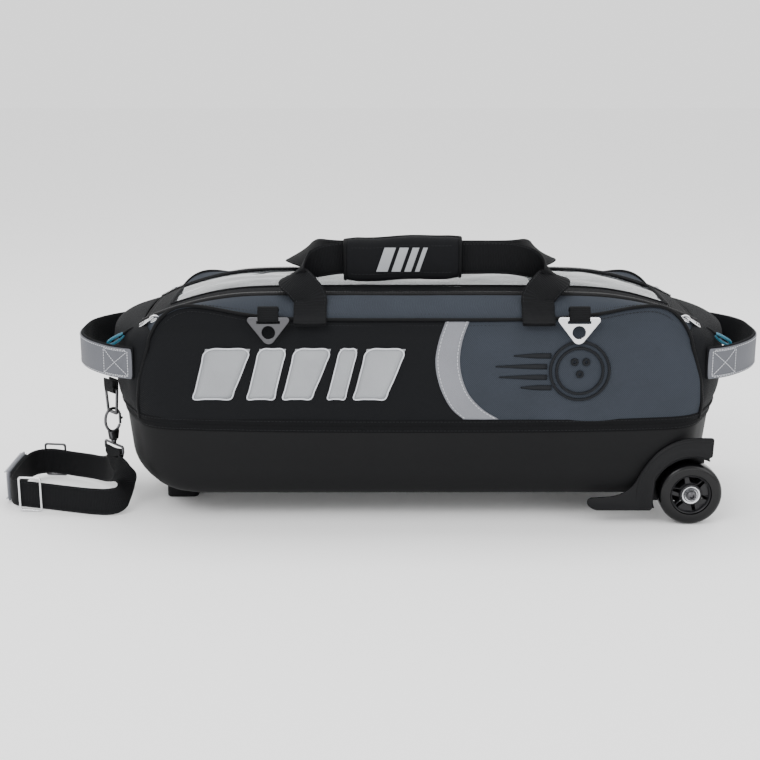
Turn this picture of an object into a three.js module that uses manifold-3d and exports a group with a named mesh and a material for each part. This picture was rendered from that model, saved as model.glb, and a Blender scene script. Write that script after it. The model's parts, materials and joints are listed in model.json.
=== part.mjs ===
// Rolling bowling bag for three balls: a long soft-sided bag on a moulded tub, with two wheels at the
// right-hand end, a clear zipped lid, carry handles, end grab handles and a clip-on tow strap.
// Millimetres, +Z up, +X towards the wheels, -Y towards the front. Origin on the floor at the centre.
import * as THREE from 'three';
import { mergeVertices } from 'three/addons/utils/BufferGeometryUtils.js';
import Module from 'manifold-3d';

const wasm = await Module();
wasm.setup();

// Overall body
const HALF_LENGTH = 419; // to the bowed end panels
const HALF_WIDTH = 135; // to the front and rear faces
const SIDE_HALF = 330; // half of the straight side
const CORNER_X = 386; // where a rounded corner meets the bowed end
const CORNER_Y = 105;
const GAP = 0.3; // clearance kept between touching pieces
const WALL = 4; // padded wall of the soft upper
const TUB_WALL = 3.5;
const TUB_BOTTOM = 38;
const TUB_ROUND = 42; // radius of the tub's lower edge at the ends
const SEAM_Z = 137; // where the tub meets the soft upper

// Lid and zips
const LID_HALF_LENGTH = 366;
const LID_HALF_WIDTH = 94;
const LID_END_HALF_WIDTH = 82;
const LID_STRAIGHT = 290;
const ZIP_WIDTH = 8;
const WINDOW_BORDER = 24;
const PANEL_HALF_LENGTH = 356;
const SLIDER_X = 343;
const SLIDER_Y = LID_HALF_WIDTH - 0.6;
const PIN_X = 3; // pull hinge, from the slider's middle
const PIN_Z = 7.3;
const TAB_TILT = 0.1; // radians that a pull leans down towards the cloth at rest

// Running gear
const WHEEL_X = 360;
const WHEEL_RADIUS = 42;
const WHEEL_WIDTH = 30;
const WHEEL_FACE = 138; // outer face of each wheel from the centre plane
const RIM_RADIUS = 27;
const BEARING_RADIUS = 11;
const BOLT_RADIUS = 5;
const WELL_RADIUS = 46.5;
const BOLT_FACE = 144.6;

// Handles and hardware
const WEBBING = 43; // width of the carry-handle webbing
const HANDLE_LEFT = -142;
const HANDLE_RIGHT = 152;
const GRAB_REACH = 462;
const RING_XS = [-195, 203];
const RING_BAR_Y = -140.4;
const RING_BAR_Z = 281;
const TOW = { x: -417, y: -57, z: 166, yaw: -48 };
const STRAP_WIDTH = 38;
const STRAP_THICK = 2.4;
const STRAP_SLIDER_YAW = -0.12;

const part = new THREE.Group();

// ---------------------------------------------------------------- colours and finishes
const FINISH = {
  black_cloth: { color: 0x191a1e, roughness: 0.85, metalness: 0 },
  grey_cloth: { color: 0x3e4652, roughness: 0.85, metalness: 0 },
  silver_cloth: { color: 0x9aa0a8, roughness: 0.7, metalness: 0 },
  tub: { color: 0x141518, roughness: 0.7, metalness: 0 },
  board: { color: 0x2a2a2a, roughness: 0.9, metalness: 0 },
  foam: { color: 0x303236, roughness: 0.95, metalness: 0 },
  vinyl: { color: 0xc8ced2, roughness: 0.1, metalness: 0, transparent: true, opacity: 0.35 },
  zip: { color: 0x0e0e10, roughness: 0.5, metalness: 0 },
  plastic: { color: 0x17181a, roughness: 0.5, metalness: 0 },
  tyre: { color: 0x0f0f10, roughness: 0.4, metalness: 0 },
  chrome: { color: 0xd0d2d4, roughness: 0.15, metalness: 1 },
  gunmetal: { color: 0x5a5c60, roughness: 0.3, metalness: 1 },
  teal: { color: 0x2f6a80, roughness: 0.3, metalness: 0 },
};

function addPart(name, geometry, finish, parent = part) {
  const mesh = new THREE.Mesh(geometry, new THREE.MeshStandardMaterial(FINISH[finish]));
  mesh.name = name;
  parent.add(mesh);
  return mesh;
}

// ---------------------------------------------------------------- solids
const v2 = (x, y) => new THREE.Vector2(x, y);
const v3 = (x, y, z) => new THREE.Vector3(x, y, z);

function welded(geometry) {
  const plain = geometry.clone();
  plain.deleteAttribute('normal');
  plain.deleteAttribute('uv');
  return mergeVertices(plain, 1e-4);
}

function solidOf(geometry) {
  const g = welded(geometry);
  const mesh = new wasm.Mesh({
    numProp: 3,
    vertProperties: new Float32Array(g.attributes.position.array),
    triVerts: new Uint32Array(g.index.array),
  });
  mesh.merge();
  return new wasm.Manifold(mesh);
}

function geometryOf(solid) {
  const mesh = solid.getMesh();
  const g = new THREE.BufferGeometry();
  g.setAttribute('position', new THREE.BufferAttribute(mesh.vertProperties, 3));
  g.setIndex(new THREE.BufferAttribute(mesh.triVerts, 1));
  return g;
}

// A closed solid through rings of points, each ring with the same count, with flat ends.
function loft(rings) {
  const n = rings[0].length;
  const positions = rings.flat().flatMap((p) => [p.x, p.y, p.z]);
  const faces = [];
  for (let r = 0; r + 1 < rings.length; r++) {
    for (let i = 0; i < n; i++) {
      const a = r * n + i;
      const b = r * n + ((i + 1) % n);
      faces.push(a, b, b + n, a, b + n, a + n);
    }
  }
  const cap = (ring, base, flip) => {
    const normal = v3(0, 0, 0);
    ring.forEach((p, i) => normal.add(p.clone().cross(ring[(i + 1) % n])));
    normal.normalize();
    const side = Math.abs(normal.z) > 0.9 ? v3(1, 0, 0) : v3(0, 0, 1);
    const across = side.clone().cross(normal).normalize();
    const up = normal.clone().cross(across);
    const flat = ring.map((p) => v2(p.dot(across), p.dot(up)));
    for (const [a, b, c] of THREE.ShapeUtils.triangulateShape(flat, [])) {
      faces.push(base + a, ...(flip ? [base + c, base + b] : [base + b, base + c]));
    }
  };
  cap(rings[0], 0, true);
  cap(rings.at(-1), (rings.length - 1) * n, false);
  const g = new THREE.BufferGeometry();
  g.setAttribute('position', new THREE.Float32BufferAttribute(positions, 3));
  g.setIndex(faces);
  if (signedVolume(g) < 0) {
    for (let i = 0; i < faces.length; i += 3) [faces[i], faces[i + 1]] = [faces[i + 1], faces[i]];
    g.setIndex(faces);
  }
  return g;
}

function signedVolume(g) {
  const p = g.attributes.position;
  const point = (i) => v3().fromBufferAttribute(p, g.index.getX(i));
  let volume = 0;
  for (let i = 0; i < g.index.count; i += 3) {
    volume += point(i).dot(point(i + 1).cross(point(i + 2)));
  }
  return volume / 6;
}

function box(x0, x1, y0, y1, z0, z1) {
  const g = new THREE.BoxGeometry(x1 - x0, y1 - y0, z1 - z0);
  return g.translate((x0 + x1) / 2, (y0 + y1) / 2, (z0 + z1) / 2);
}

// A shape drawn in XY, standing from z0 to z1.
function upright(shape, z0, z1, segments = 8) {
  const options = { depth: z1 - z0, bevelEnabled: false, curveSegments: segments };
  return new THREE.ExtrudeGeometry(shape, options).translate(0, 0, z0);
}

// A shape drawn in XZ, lying from y0 to y1.
function sideways(shape, y0, y1, segments = 6) {
  const options = { depth: y1 - y0, bevelEnabled: false, curveSegments: segments };
  return new THREE.ExtrudeGeometry(shape, options).rotateX(Math.PI / 2).translate(0, y1, 0);
}

// A turned piece on an axis along Y, its profile given as radius and y.
function turned(profile, x, z, segments) {
  const points = profile.map(([radius, y]) => v2(radius, y));
  return new THREE.LatheGeometry(points, segments).translate(x, 0, z);
}

function polygon(points) {
  const s = new THREE.Shape(points.map(([x, y]) => v2(x, y)));
  s.closePath();
  return s;
}

function roundedRectangle(width, height, radius) {
  const [w, h] = [width / 2, height / 2];
  const s = new THREE.Shape();
  s.absarc(w - radius, h - radius, radius, 0, Math.PI / 2);
  s.absarc(radius - w, h - radius, radius, Math.PI / 2, Math.PI);
  s.absarc(radius - w, radius - h, radius, Math.PI, Math.PI * 1.5);
  s.absarc(w - radius, radius - h, radius, Math.PI * 1.5, Math.PI * 2);
  s.closePath();
  return s;
}

// A strip of webbing: centre points, the direction of its width at each, its width and thickness.
function ribbon(stops, width, thick, steps) {
  const path = new THREE.CatmullRomCurve3(stops.map((s) => v3(...s.at)), false, 'centripetal');
  const across = new THREE.CatmullRomCurve3(stops.map((s) => v3(...s.wide)));
  const rings = [];
  for (let i = 0; i <= steps; i++) {
    const t = i / steps;
    const centre = path.getPoint(t);
    const tangent = path.getTangent(t);
    const wide = across.getPoint(t);
    wide.addScaledVector(tangent, -wide.dot(tangent)).setLength(width / 2);
    const normal = tangent.clone().cross(wide).setLength(thick / 2);
    const corner = (a, b) => centre.clone().addScaledVector(wide, a).addScaledVector(normal, b);
    rings.push([corner(-1, -1), corner(1, -1), corner(1, 1), corner(-1, 1)]);
  }
  return loft(rings);
}

// ---------------------------------------------------------------- body outline
const CORNER_CURVE = new THREE.QuadraticBezierCurve(
  v2(SIDE_HALF, -HALF_WIDTH), v2(372, -HALF_WIDTH), v2(CORNER_X, -CORNER_Y));
const END_CURVE = new THREE.QuadraticBezierCurve(
  v2(CORNER_X, -CORNER_Y), v2(2 * HALF_LENGTH - CORNER_X, 0), v2(CORNER_X, CORNER_Y));

// The outline seen from above, as points running once round.
function outline() {
  const quarter = [v2(0, -HALF_WIDTH), v2(250, -HALF_WIDTH), ...CORNER_CURVE.getPoints(3)];
  const end = END_CURVE.getPoints(6).slice(1, -1);
  const mirrorY = quarter.slice(1).reverse().map((p) => v2(p.x, -p.y));
  const right = [...quarter, ...end, ...mirrorY];
  const left = right.map((p) => v2(-p.x, -p.y));
  return [...right, v2(0, HALF_WIDTH), ...left.slice(1)];
}
const OUTLINE = outline();

// The roof falls towards the ends of the bag.
function endDrop(x) {
  const t = THREE.MathUtils.clamp((Math.abs(x) - 240) / 150, 0, 1);
  return 0.36 * t * t * (3 - 2 * t);
}

function outlineRing(z, insetX, insetY) {
  const [sx, sy] = [(HALF_LENGTH - insetX) / HALF_LENGTH, (HALF_WIDTH - insetY) / HALF_WIDTH];
  return OUTLINE.map((p) => {
    const x = p.x * sx;
    const lift = z > 200 ? 200 + (z - 200) * (1 - endDrop(x)) : z;
    return v3(x, p.y * sy, lift);
  });
}

// ---------------------------------------------------------------- lower tub
function tubInset(z) {
  return 26 - (11 * (z - TUB_BOTTOM)) / (SEAM_Z - TUB_BOTTOM);
}

function tubRings(thick) {
  const rings = [];
  for (let i = 0; i <= 4; i++) {
    const angle = (i / 4) * (Math.PI / 2);
    const round = 1 - Math.sin(angle);
    const z = TUB_BOTTOM + TUB_ROUND * (1 - Math.cos(angle));
    rings.push(outlineRing(z + thick * round, tubInset(z) + TUB_ROUND * round + thick,
      4 + 18 * round + thick));
  }
  rings.push(outlineRing(SEAM_Z, tubInset(SEAM_Z) + thick, thick));
  return rings;
}

function wheelCylinder(radius, y0, y1) {
  const g = new THREE.CylinderGeometry(radius, radius, y1 - y0, 32);
  return solidOf(g.translate(WHEEL_X, (y0 + y1) / 2, WHEEL_RADIUS));
}

function lowerTub() {
  let tub = solidOf(loft([...tubRings(0), ...tubRings(TUB_WALL).reverse()]));
  for (const side of [-1, 1]) {
    const y = [side * 100.6, side * 150].sort((a, b) => a - b);
    tub = tub.subtract(wheelCylinder(WELL_RADIUS + 5.5, ...y));
  }
  return geometryOf(tub);
}

// ---------------------------------------------------------------- soft upper
const ROOF = [[0, 200, 0], [2, 240, 0.5], [7, 262, 3], [19, 280, 11], [36, 294, 24], [56, 303.5, 40],
  [90, 309, 62], [150, 313, 90], [260, 315, 118]];

function upperShell(thick) {
  const outer = [outlineRing(SEAM_Z + GAP, tubInset(SEAM_Z), 0), outlineRing(165, 5, 0)];
  outer.push(...ROOF.map(([insetX, z, insetY]) => outlineRing(z, insetX, insetY)));
  const inner = [outlineRing(SEAM_Z + GAP, tubInset(SEAM_Z) + thick, thick)];
  inner.push(outlineRing(165, 5 + thick, thick));
  inner.push(...ROOF.map(([insetX, z, insetY], i) => {
    const tilt = Math.min(1, Math.max(0, (z - 240) / 60));
    const inwardX = insetX + thick * (1 - 0.5 * tilt);
    return outlineRing(z - thick * tilt * 1.15, inwardX, insetY + thick * (1 - tilt));
  }));
  // Open underneath: the outside runs up to the crown, and the inside comes back down.
  const hollow = solidOf(loft(inner));
  const floor = solidOf(box(-500, 500, -200, 200, SEAM_Z - 5, SEAM_Z + GAP + 0.01));
  return solidOf(loft(outer)).subtract(hollow).subtract(floor);
}

// The lid's outline seen from above, grown by a margin along Y and along X.
function lidShape(growX, growY) {
  const [l, s] = [LID_HALF_LENGTH + growX, LID_STRAIGHT];
  const [w, e] = [LID_HALF_WIDTH + growY, LID_END_HALF_WIDTH + growY];
  const shape = new THREE.Shape();
  shape.moveTo(-s, -w);
  shape.lineTo(s, -w);
  shape.quadraticCurveTo(s + 45, -w, l, -e);
  shape.lineTo(l, e);
  shape.quadraticCurveTo(s + 45, w, s, w);
  shape.lineTo(-s, w);
  shape.quadraticCurveTo(-s - 45, w, -l, e);
  shape.lineTo(-l, -e);
  shape.quadraticCurveTo(-s - 45, -w, -s, -w);
  return shape;
}

function above(shape) {
  return solidOf(upright(shape, 180, 360, 6));
}

// The front panel's upper edge rises to the shoulders and falls round the corners.
function panelTop() {
  const shape = new THREE.Shape();
  shape.moveTo(-500, 100);
  shape.lineTo(500, 100);
  shape.lineTo(500, 235);
  shape.lineTo(PANEL_HALF_LENGTH, 235);
  shape.quadraticCurveTo(338, 272, 290, 274);
  shape.quadraticCurveTo(220, 272, 160, 268);
  shape.lineTo(-160, 268);
  shape.quadraticCurveTo(-220, 272, -290, 274);
  shape.quadraticCurveTo(-338, 272, -PANEL_HALF_LENGTH, 235);
  shape.lineTo(-500, 235);
  return shape;
}

function softUpper() {
  const shell = upperShell(WALL);
  const middle = solidOf(box(-PANEL_HALF_LENGTH, PANEL_HALF_LENGTH, -200, 200, 0, 400));
  const low = solidOf(sideways(panelTop(), -200, 200, 6));
  const lowGrown = low.translate([0, 0, GAP]);
  const lidHole = above(lidShape(GAP, ZIP_WIDTH + 2 * GAP));
  const walls = shell.subtract(lidHole);
  for (const [name, side] of [['front', -1], ['rear', 1]]) {
    const half = solidOf(box(-500, 500, side < 0 ? -200 : 1, side < 0 ? -1 : 200, 0, 400));
    const wall = walls.intersect(middle).intersect(half);
    addPart(`${name}_panel`, geometryOf(wall.intersect(low)), 'black_cloth');
    addPart(`${name}_gusset`, geometryOf(wall.subtract(lowGrown)), 'grey_cloth');
    const zip = above(lidShape(0, ZIP_WIDTH + GAP)).subtract(above(lidShape(5, GAP)));
    const line = shell.intersect(zip).intersect(half);
    addPart(`${name}_zip_chain`, geometryOf(line), 'zip');
  }
  const reach = PANEL_HALF_LENGTH + GAP;
  const ends = walls.subtract(solidOf(box(-reach, reach, -200, 200, 0, 400)));
  for (const [name, x0, x1] of [['left', -500, 0], ['right', 0, 500]]) {
    const half = solidOf(box(x0, x1, -200, 200, 0, 400));
    addPart(`${name}_end_panel`, geometryOf(ends.intersect(half)), 'black_cloth');
  }
  return shell;
}

function lid(shell) {
  const window = above(lidShape(-WINDOW_BORDER * 1.6, -WINDOW_BORDER));
  const opening = above(lidShape(-WINDOW_BORDER * 1.6 + GAP, -WINDOW_BORDER + GAP));
  const frame = shell.intersect(above(lidShape(0, 0))).subtract(opening);
  addPart('lid_frame', geometryOf(frame), 'black_cloth');
  addPart('lid_window', geometryOf(upperShell(2).translate([0, 0, -1]).intersect(window)), 'vinyl');
}

// Height of the roof's surface at a place.
function roofHeight(surface, x, y) {
  const ray = new THREE.Raycaster(v3(x, y, 400), v3(0, 0, -1));
  return ray.intersectObject(surface)[0].point.z;
}

// ---------------------------------------------------------------- inside
function inside() {
  const board = roundedRectangle(640, 200, 30);
  addPart('base_board', upright(board, TUB_BOTTOM + TUB_WALL + GAP, 45), 'board');
  const tray = roundedRectangle(660, 206, 35);
  for (const x of [-222, 0, 222]) {
    const seat = new THREE.Path();
    seat.absarc(x, 0, 62, 0, Math.PI * 2);
    tray.holes.push(seat);
  }
  addPart('ball_tray', upright(tray, 45 + GAP, 66, 10), 'foam');
  for (const [name, x] of [['left', -111], ['right', 111]]) {
    addPart(`divider_${name}`, box(x - 1.6, x + 1.6, -118, 118, 66 + GAP, 205), 'foam');
  }
}

// ---------------------------------------------------------------- running gear
function kickOutline() {
  const s = new THREE.Shape();
  s.moveTo(218, 40);
  s.quadraticCurveTo(220, 23, 236, 23);
  s.lineTo(318, 23);
  s.lineTo(318, 60);
  s.lineTo(392, 60);
  s.lineTo(388, 118);
  s.quadraticCurveTo(386, 126, 376, 126);
  s.quadraticCurveTo(318, 122, 300, 84);
  s.quadraticCurveTo(288, 52, 250, 50);
  s.quadraticCurveTo(224, 50, 218, 40);
  return s;
}

function kickPlate(side) {
  const face = side < 0 ? [-138.6, -135.4] : [135.4, 138.6];
  const plate = solidOf(sideways(kickOutline(), ...face, 8));
  const span = side < 0 ? [-138.6, -101] : [101, 138.6];
  const hollowSpan = side < 0 ? [-150, -105] : [105, 150];
  const well = wheelCylinder(WELL_RADIUS + 5, ...span);
  const room = wheelCylinder(WELL_RADIUS, ...hollowSpan);
  const boltHole = wheelCylinder(BOLT_RADIUS + GAP, -150, 150);
  const region = solidOf(box(200, 394, -150, 150, 23, 140));
  return geometryOf(plate.add(well).intersect(region).subtract(room).subtract(boltHole));
}

function wheelHub(side) {
  const disc = new THREE.Shape();
  disc.absarc(0, 0, RIM_RADIUS - GAP, 0, Math.PI * 2);
  const bore = new THREE.Path();
  bore.absarc(0, 0, BEARING_RADIUS + GAP, 0, Math.PI * 2);
  disc.holes.push(bore);
  const spokes = 6;
  for (let i = 0; i < spokes; i++) {
    const angle = (i * 2 * Math.PI) / spokes;
    const corner = (radius, turn) => [radius * Math.cos(angle + turn), radius * Math.sin(angle + turn)];
    disc.holes.push(polygon([corner(23, -0.32), corner(24, 0), corner(23, 0.32), corner(15, 0.26),
      corner(15, -0.26)]));
  }
  const y = [side * (WHEEL_FACE - 3), side * (WHEEL_FACE - WHEEL_WIDTH + 3)].sort((a, b) => a - b);
  return sideways(disc, ...y, 10).translate(WHEEL_X, 0, WHEEL_RADIUS);
}

function runningGear() {
  for (const [name, side] of [['front', -1], ['rear', 1]]) {
    addPart(`kick_plate_${name}`, kickPlate(side), 'plastic');
    const at = (depth) => side * (WHEEL_FACE - depth);
    const order = (profile) => (side < 0 ? profile : [...profile].reverse());
    const tyre = order([[RIM_RADIUS, at(0)], [38, at(0)], [WHEEL_RADIUS, at(5)],
      [WHEEL_RADIUS, at(WHEEL_WIDTH - 5)], [38, at(WHEEL_WIDTH)], [RIM_RADIUS, at(WHEEL_WIDTH)],
      [RIM_RADIUS, at(0)]]);
    addPart(`wheel_tyre_${name}`, turned(tyre, WHEEL_X, WHEEL_RADIUS, 28), 'tyre');
    addPart(`wheel_hub_${name}`, wheelHub(side), 'plastic');
    const bore = BOLT_RADIUS + GAP;
    const bearing = order([[bore, at(1)], [BEARING_RADIUS, at(1)], [BEARING_RADIUS, at(WHEEL_WIDTH - 1)],
      [bore, at(WHEEL_WIDTH - 1)], [bore, at(1)]]);
    addPart(`wheel_bearing_${name}`, turned(bearing, WHEEL_X, WHEEL_RADIUS, 16), 'chrome');
    const head = side * BOLT_FACE;
    const bolt = order([[0, head], [6, head], [8, head - side * 2], [8, head - side * 6],
      [BOLT_RADIUS, head - side * 6], [BOLT_RADIUS, side * 96], [0, side * 96]]);
    addPart(`axle_bolt_${name}`, turned(bolt, WHEEL_X, WHEEL_RADIUS, 12), 'gunmetal');
  }
  addPart('stand_foot', upright(roundedRectangle(44, 56, 8), 0, TUB_BOTTOM - GAP, 3).translate(-330, 0, 0),
    'plastic');
}

// ---------------------------------------------------------------- piping
function tube(points, radius, steps, sides = 3) {
  const path = new THREE.CatmullRomCurve3(points, false, 'centripetal');
  const section = new THREE.Shape();
  section.absarc(0, 0, radius, 0, Math.PI * 2);
  const options = { steps, extrudePath: path, curveSegments: sides, bevelEnabled: false };
  return new THREE.ExtrudeGeometry(section, options);
}

function piping() {
  const heights = [[-344, 252], [-318, 265], [-290, 268], [-220, 269.5], [-160, 267.5], [0, 267.5],
    [160, 267.5], [220, 269.5], [290, 268], [318, 265], [344, 252]];
  for (const [name, side] of [['front', -1], ['rear', 1]]) {
    const bow = (x) => Math.max(0, Math.abs(x) - 300) / 15;
    const points = heights.map(([x, z]) => v3(x, side * (135.4 - bow(x)), z));
    addPart(`${name}_piping`, tube(points, 2.4, 20), 'black_cloth');
  }
}

// ---------------------------------------------------------------- carry handles
function carryHandle(side) {
  const y = (front, rear) => (side < 0 ? front : rear);
  const leg = (x, out) => [
    { at: [x, side * 138.5, 275.5], wide: [1, 0, 0] },
    { at: [x, side * 127, 286], wide: [1, 0, 0] },
    { at: [x, side * 116, 296.5], wide: [1, 0, 0] },
    { at: [x, y(-112.5, 111), 305], wide: [1, 0, 0] },
    { at: [x + out * 14, y(-109, 92), 321], wide: [1, 0, -0.2 * out] },
    { at: [x + out * 24, y(-97, 50), y(330, 334)], wide: [0.9, 0.2 * side, -0.5 * out] },
    { at: [x + out * 2, y(-70, -6), y(339, 343)], wide: [0.5, 0, -0.9 * out] },
    { at: [x - out * 34, y(-56, -36), 345], wide: [0, 0, -out] },
  ];
  const turn = (stop) => ({ at: stop.at, wide: stop.wide.map((c) => -c) });
  const grip = [-60, 0, 60].map((x) => ({ at: [x, y(-55, -37), 345], wide: [0, 0, 1] }));
  const right = leg(HANDLE_RIGHT, 1).reverse().map(turn);
  return ribbon([...leg(HANDLE_LEFT, -1), ...grip, ...right], WEBBING, 3, 48);
}

// The wrap closes round the front handle's grip and is open at the rear.
function handleWrap() {
  const section = new THREE.Shape();
  section.moveTo(-62, 319);
  section.lineTo(-50, 319);
  section.lineTo(-50, 321.5);
  section.lineTo(-58.5, 321.5);
  section.lineTo(-58.5, 370);
  section.lineTo(-50, 370);
  section.lineTo(-50, 372.5);
  section.lineTo(-62, 372.5);
  section.closePath();
  const g = new THREE.ExtrudeGeometry(section, { depth: 150, bevelEnabled: false });
  g.rotateX(Math.PI / 2).rotateZ(Math.PI / 2).translate(-97, 0, 0);
  return g;
}

// ---------------------------------------------------------------- end grab handles
function grabHandle(side) {
  const half = [[373, -127], [404, -112], [438, -78], [457, -40], [GRAB_REACH - 2.5, 0]];
  const stops = [...half, ...half.slice(0, -1).reverse().map(([x, y]) => [x, -y])];
  return ribbon(stops.map(([x, y]) => ({ at: [side * x, y, 221 - Math.abs(y) * 0.02], wide: [0, 0, 1] })),
    42, 5, 28);
}

// ---------------------------------------------------------------- triangular rings
function triangle() {
  const s = new THREE.Shape();
  s.moveTo(-24, 3);
  s.lineTo(24, 3);
  s.quadraticCurveTo(29, 1, 26, -4);
  s.lineTo(6, -30);
  s.quadraticCurveTo(0, -35, -6, -30);
  s.lineTo(-26, -4);
  s.quadraticCurveTo(-29, 1, -24, 3);
  const slot = new THREE.Path();
  slot.moveTo(-15, -2);
  slot.lineTo(-15, -5.6);
  slot.lineTo(15, -5.6);
  slot.lineTo(15, -2);
  slot.closePath();
  const hole = new THREE.Path();
  hole.absarc(0, -17, 8.5, 0, Math.PI * 2);
  s.holes.push(slot, hole);
  return s;
}

// A flat loop of webbing round a bar along X at the origin, with its legs going up.
function barLoop(width, inner, thick, height) {
  const racetrack = (r) => {
    const s = new THREE.Shape();
    s.absarc(0, 0, r, Math.PI, Math.PI * 2);
    s.lineTo(r, height);
    s.lineTo(-r, height);
    s.closePath();
    return s;
  };
  const outer = racetrack(inner + thick);
  const hole = racetrack(inner);
  outer.holes.push(new THREE.Path(hole.getPoints(6).map((p) => v2(p.x, Math.min(p.y, height - thick)))));
  const g = new THREE.ExtrudeGeometry(outer, { depth: width, bevelEnabled: false, curveSegments: 6 });
  return g.rotateX(Math.PI / 2).rotateZ(Math.PI / 2);
}

function rings() {
  RING_XS.forEach((x, i) => {
    const name = i === 0 ? 'left' : 'right';
    const plate = sideways(triangle(), -0.9, 0.9, 6).translate(x, RING_BAR_Y, RING_BAR_Z - 0.5);
    addPart(`triangle_ring_${name}`, plate, i === 0 ? 'gunmetal' : 'chrome');
    const loop = barLoop(26, 2.9, 0.9, 9).translate(x - 13, RING_BAR_Y, RING_BAR_Z);
    addPart(`ring_loop_${name}`, loop, 'black_cloth');
  });
}

// ---------------------------------------------------------------- zip sliders
// Slider frame: x' along the zip away from the bag's middle, z' off the roof.
function sliderFrame(surface, sx, sy) {
  const sample = (x, y) => v3(x, y, roofHeight(surface, x, y));
  const at = sample(sx * SLIDER_X, sy * (SLIDER_Y + 4.6));
  const ahead = sample(sx * (SLIDER_X + 14), sy * (SLIDER_Y + 1.6));
  const behind = sample(sx * (SLIDER_X - 14), sy * (SLIDER_Y + 6));
  const along = ahead.sub(behind).normalize();
  const slope = sample(sx * SLIDER_X, sy * (SLIDER_Y + 7)).sub(sample(sx * SLIDER_X, sy * (SLIDER_Y + 2)));
  const off = along.clone().cross(slope).normalize();
  if (off.z < 0) off.negate();
  const across = off.clone().cross(along);
  const frame = new THREE.Group();
  frame.quaternion.setFromRotationMatrix(new THREE.Matrix4().makeBasis(along, across, off));
  frame.position.copy(at).addScaledVector(off, 1.3);
  return frame;
}

function sliderBody() {
  const body = solidOf(box(-7, 7, -3.9, 3.9, 0, 4.2));
  const lug = solidOf(sideways(polygon([[-1, 4], [5.5, 4], [5, 9], [1, 9]]), 1.6, 3));
  const pin = solidOf(new THREE.CylinderGeometry(0.9, 0.9, 5.2, 8).translate(PIN_X, 0, PIN_Z));
  return geometryOf(body.add(lug).add(lug.translate([0, -4.6, 0])).add(pin));
}

function pullTab() {
  const stem = new THREE.Shape();
  stem.absarc(0, 0, 1.7, Math.PI / 2, Math.PI * 1.5);
  stem.lineTo(11, -0.9);
  stem.lineTo(11, 0.9);
  stem.closePath();
  const eye = new THREE.Path();
  eye.absarc(0, 0, 1.2, 0, Math.PI * 2);
  stem.holes.push(eye);
  const plate = polygon([[9, -4], [12, -6], [33, -6], [35, -4], [35, 4], [33, 6], [12, 6], [9, 4]]);
  plate.holes.push(polygon([[27, -3], [31, -3], [31, 3], [27, 3]]));
  return geometryOf(solidOf(sideways(stem, -1.2, 1.2, 4)).add(solidOf(upright(plate, -0.8, 0.8))));
}

function pullLoop() {
  const outer = roundedRectangle(46, 8, 3.9);
  const hole = roundedRectangle(41, 3.6, 1.7);
  outer.holes.push(new THREE.Path(hole.getPoints(2)));
  const g = new THREE.ExtrudeGeometry(outer, { depth: 2.4, bevelEnabled: false, curveSegments: 2 });
  return g.translate(0, 0, -1.2).rotateX(Math.PI / 2);
}

function zipSliders(shell) {
  const surface = new THREE.Mesh(geometryOf(shell), new THREE.MeshBasicMaterial({ side: THREE.DoubleSide }));
  for (const sx of [-1, 1]) {
    for (const sy of [-1, 1]) {
      const name = `${sy < 0 ? 'front' : 'rear'}_${sx < 0 ? 'left' : 'right'}`;
      const frame = sliderFrame(surface, sx, sy);
      part.add(frame);
      addPart(`zip_slider_${name}`, sliderBody(), 'gunmetal', frame);
      const hang = new THREE.Group();
      hang.position.set(PIN_X, 0, PIN_Z);
      hang.rotation.y = TAB_TILT;
      frame.add(hang);
      addPart(`pull_tab_${name}`, pullTab(), 'chrome', hang);
      const loop = addPart(`pull_loop_${name}`, pullLoop(), 'teal', hang);
      loop.position.set(51, 0, 0);
    }
  }
}

// ---------------------------------------------------------------- tow strap and its hook
// The tow group's own axes: x along the ring's bar, y towards the bag, z up.
function towRing() {
  const outer = polygon([[-16, 1.8], [-12, -34], [12, -34], [16, 1.8]]);
  outer.holes.push(polygon([[-13, -1.8], [-9, -30.5], [9, -30.5], [13, -1.8]]));
  return sideways(outer, -1.8, 1.8);
}

// The hook hangs on the ring's lower bar, its oval standing across the ring.
function snapHook() {
  const oval = new THREE.Shape();
  oval.absellipse(0, 0, 13.5, 18, 0, Math.PI * 2);
  const hole = new THREE.Path();
  hole.absellipse(0, 0, 9.8, 14.3, 0, Math.PI * 2);
  oval.holes.push(hole);
  const wire = solidOf(sideways(oval, -2, 2, 24));
  const gateGap = solidOf(box(6, 20, -4, 4, -8, 8));
  const neck = new THREE.Shape([v2(-8, -15.5), v2(8, -15.5), v2(6, -28), v2(-6, -28)]);
  return geometryOf(wire.subtract(gateGap).add(solidOf(sideways(neck, -4, 4))));
}

function hookGate() {
  return sideways(new THREE.Shape([v2(9.6, -7.4), v2(12.4, -7.4), v2(12.4, 7.4), v2(9.6, 7.4)]), -1.5, 1.5);
}

function swivelEye() {
  const outer = roundedRectangle(48, 13, 3);
  outer.holes.push(new THREE.Path(roundedRectangle(42, 7, 1.5).getPoints(3)));
  const stud = solidOf(new THREE.CylinderGeometry(3, 3, 5, 10).rotateX(Math.PI / 2).translate(0, 0, 8));
  return geometryOf(solidOf(sideways(outer, -1.6, 1.6, 3)).add(stud));
}

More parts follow.
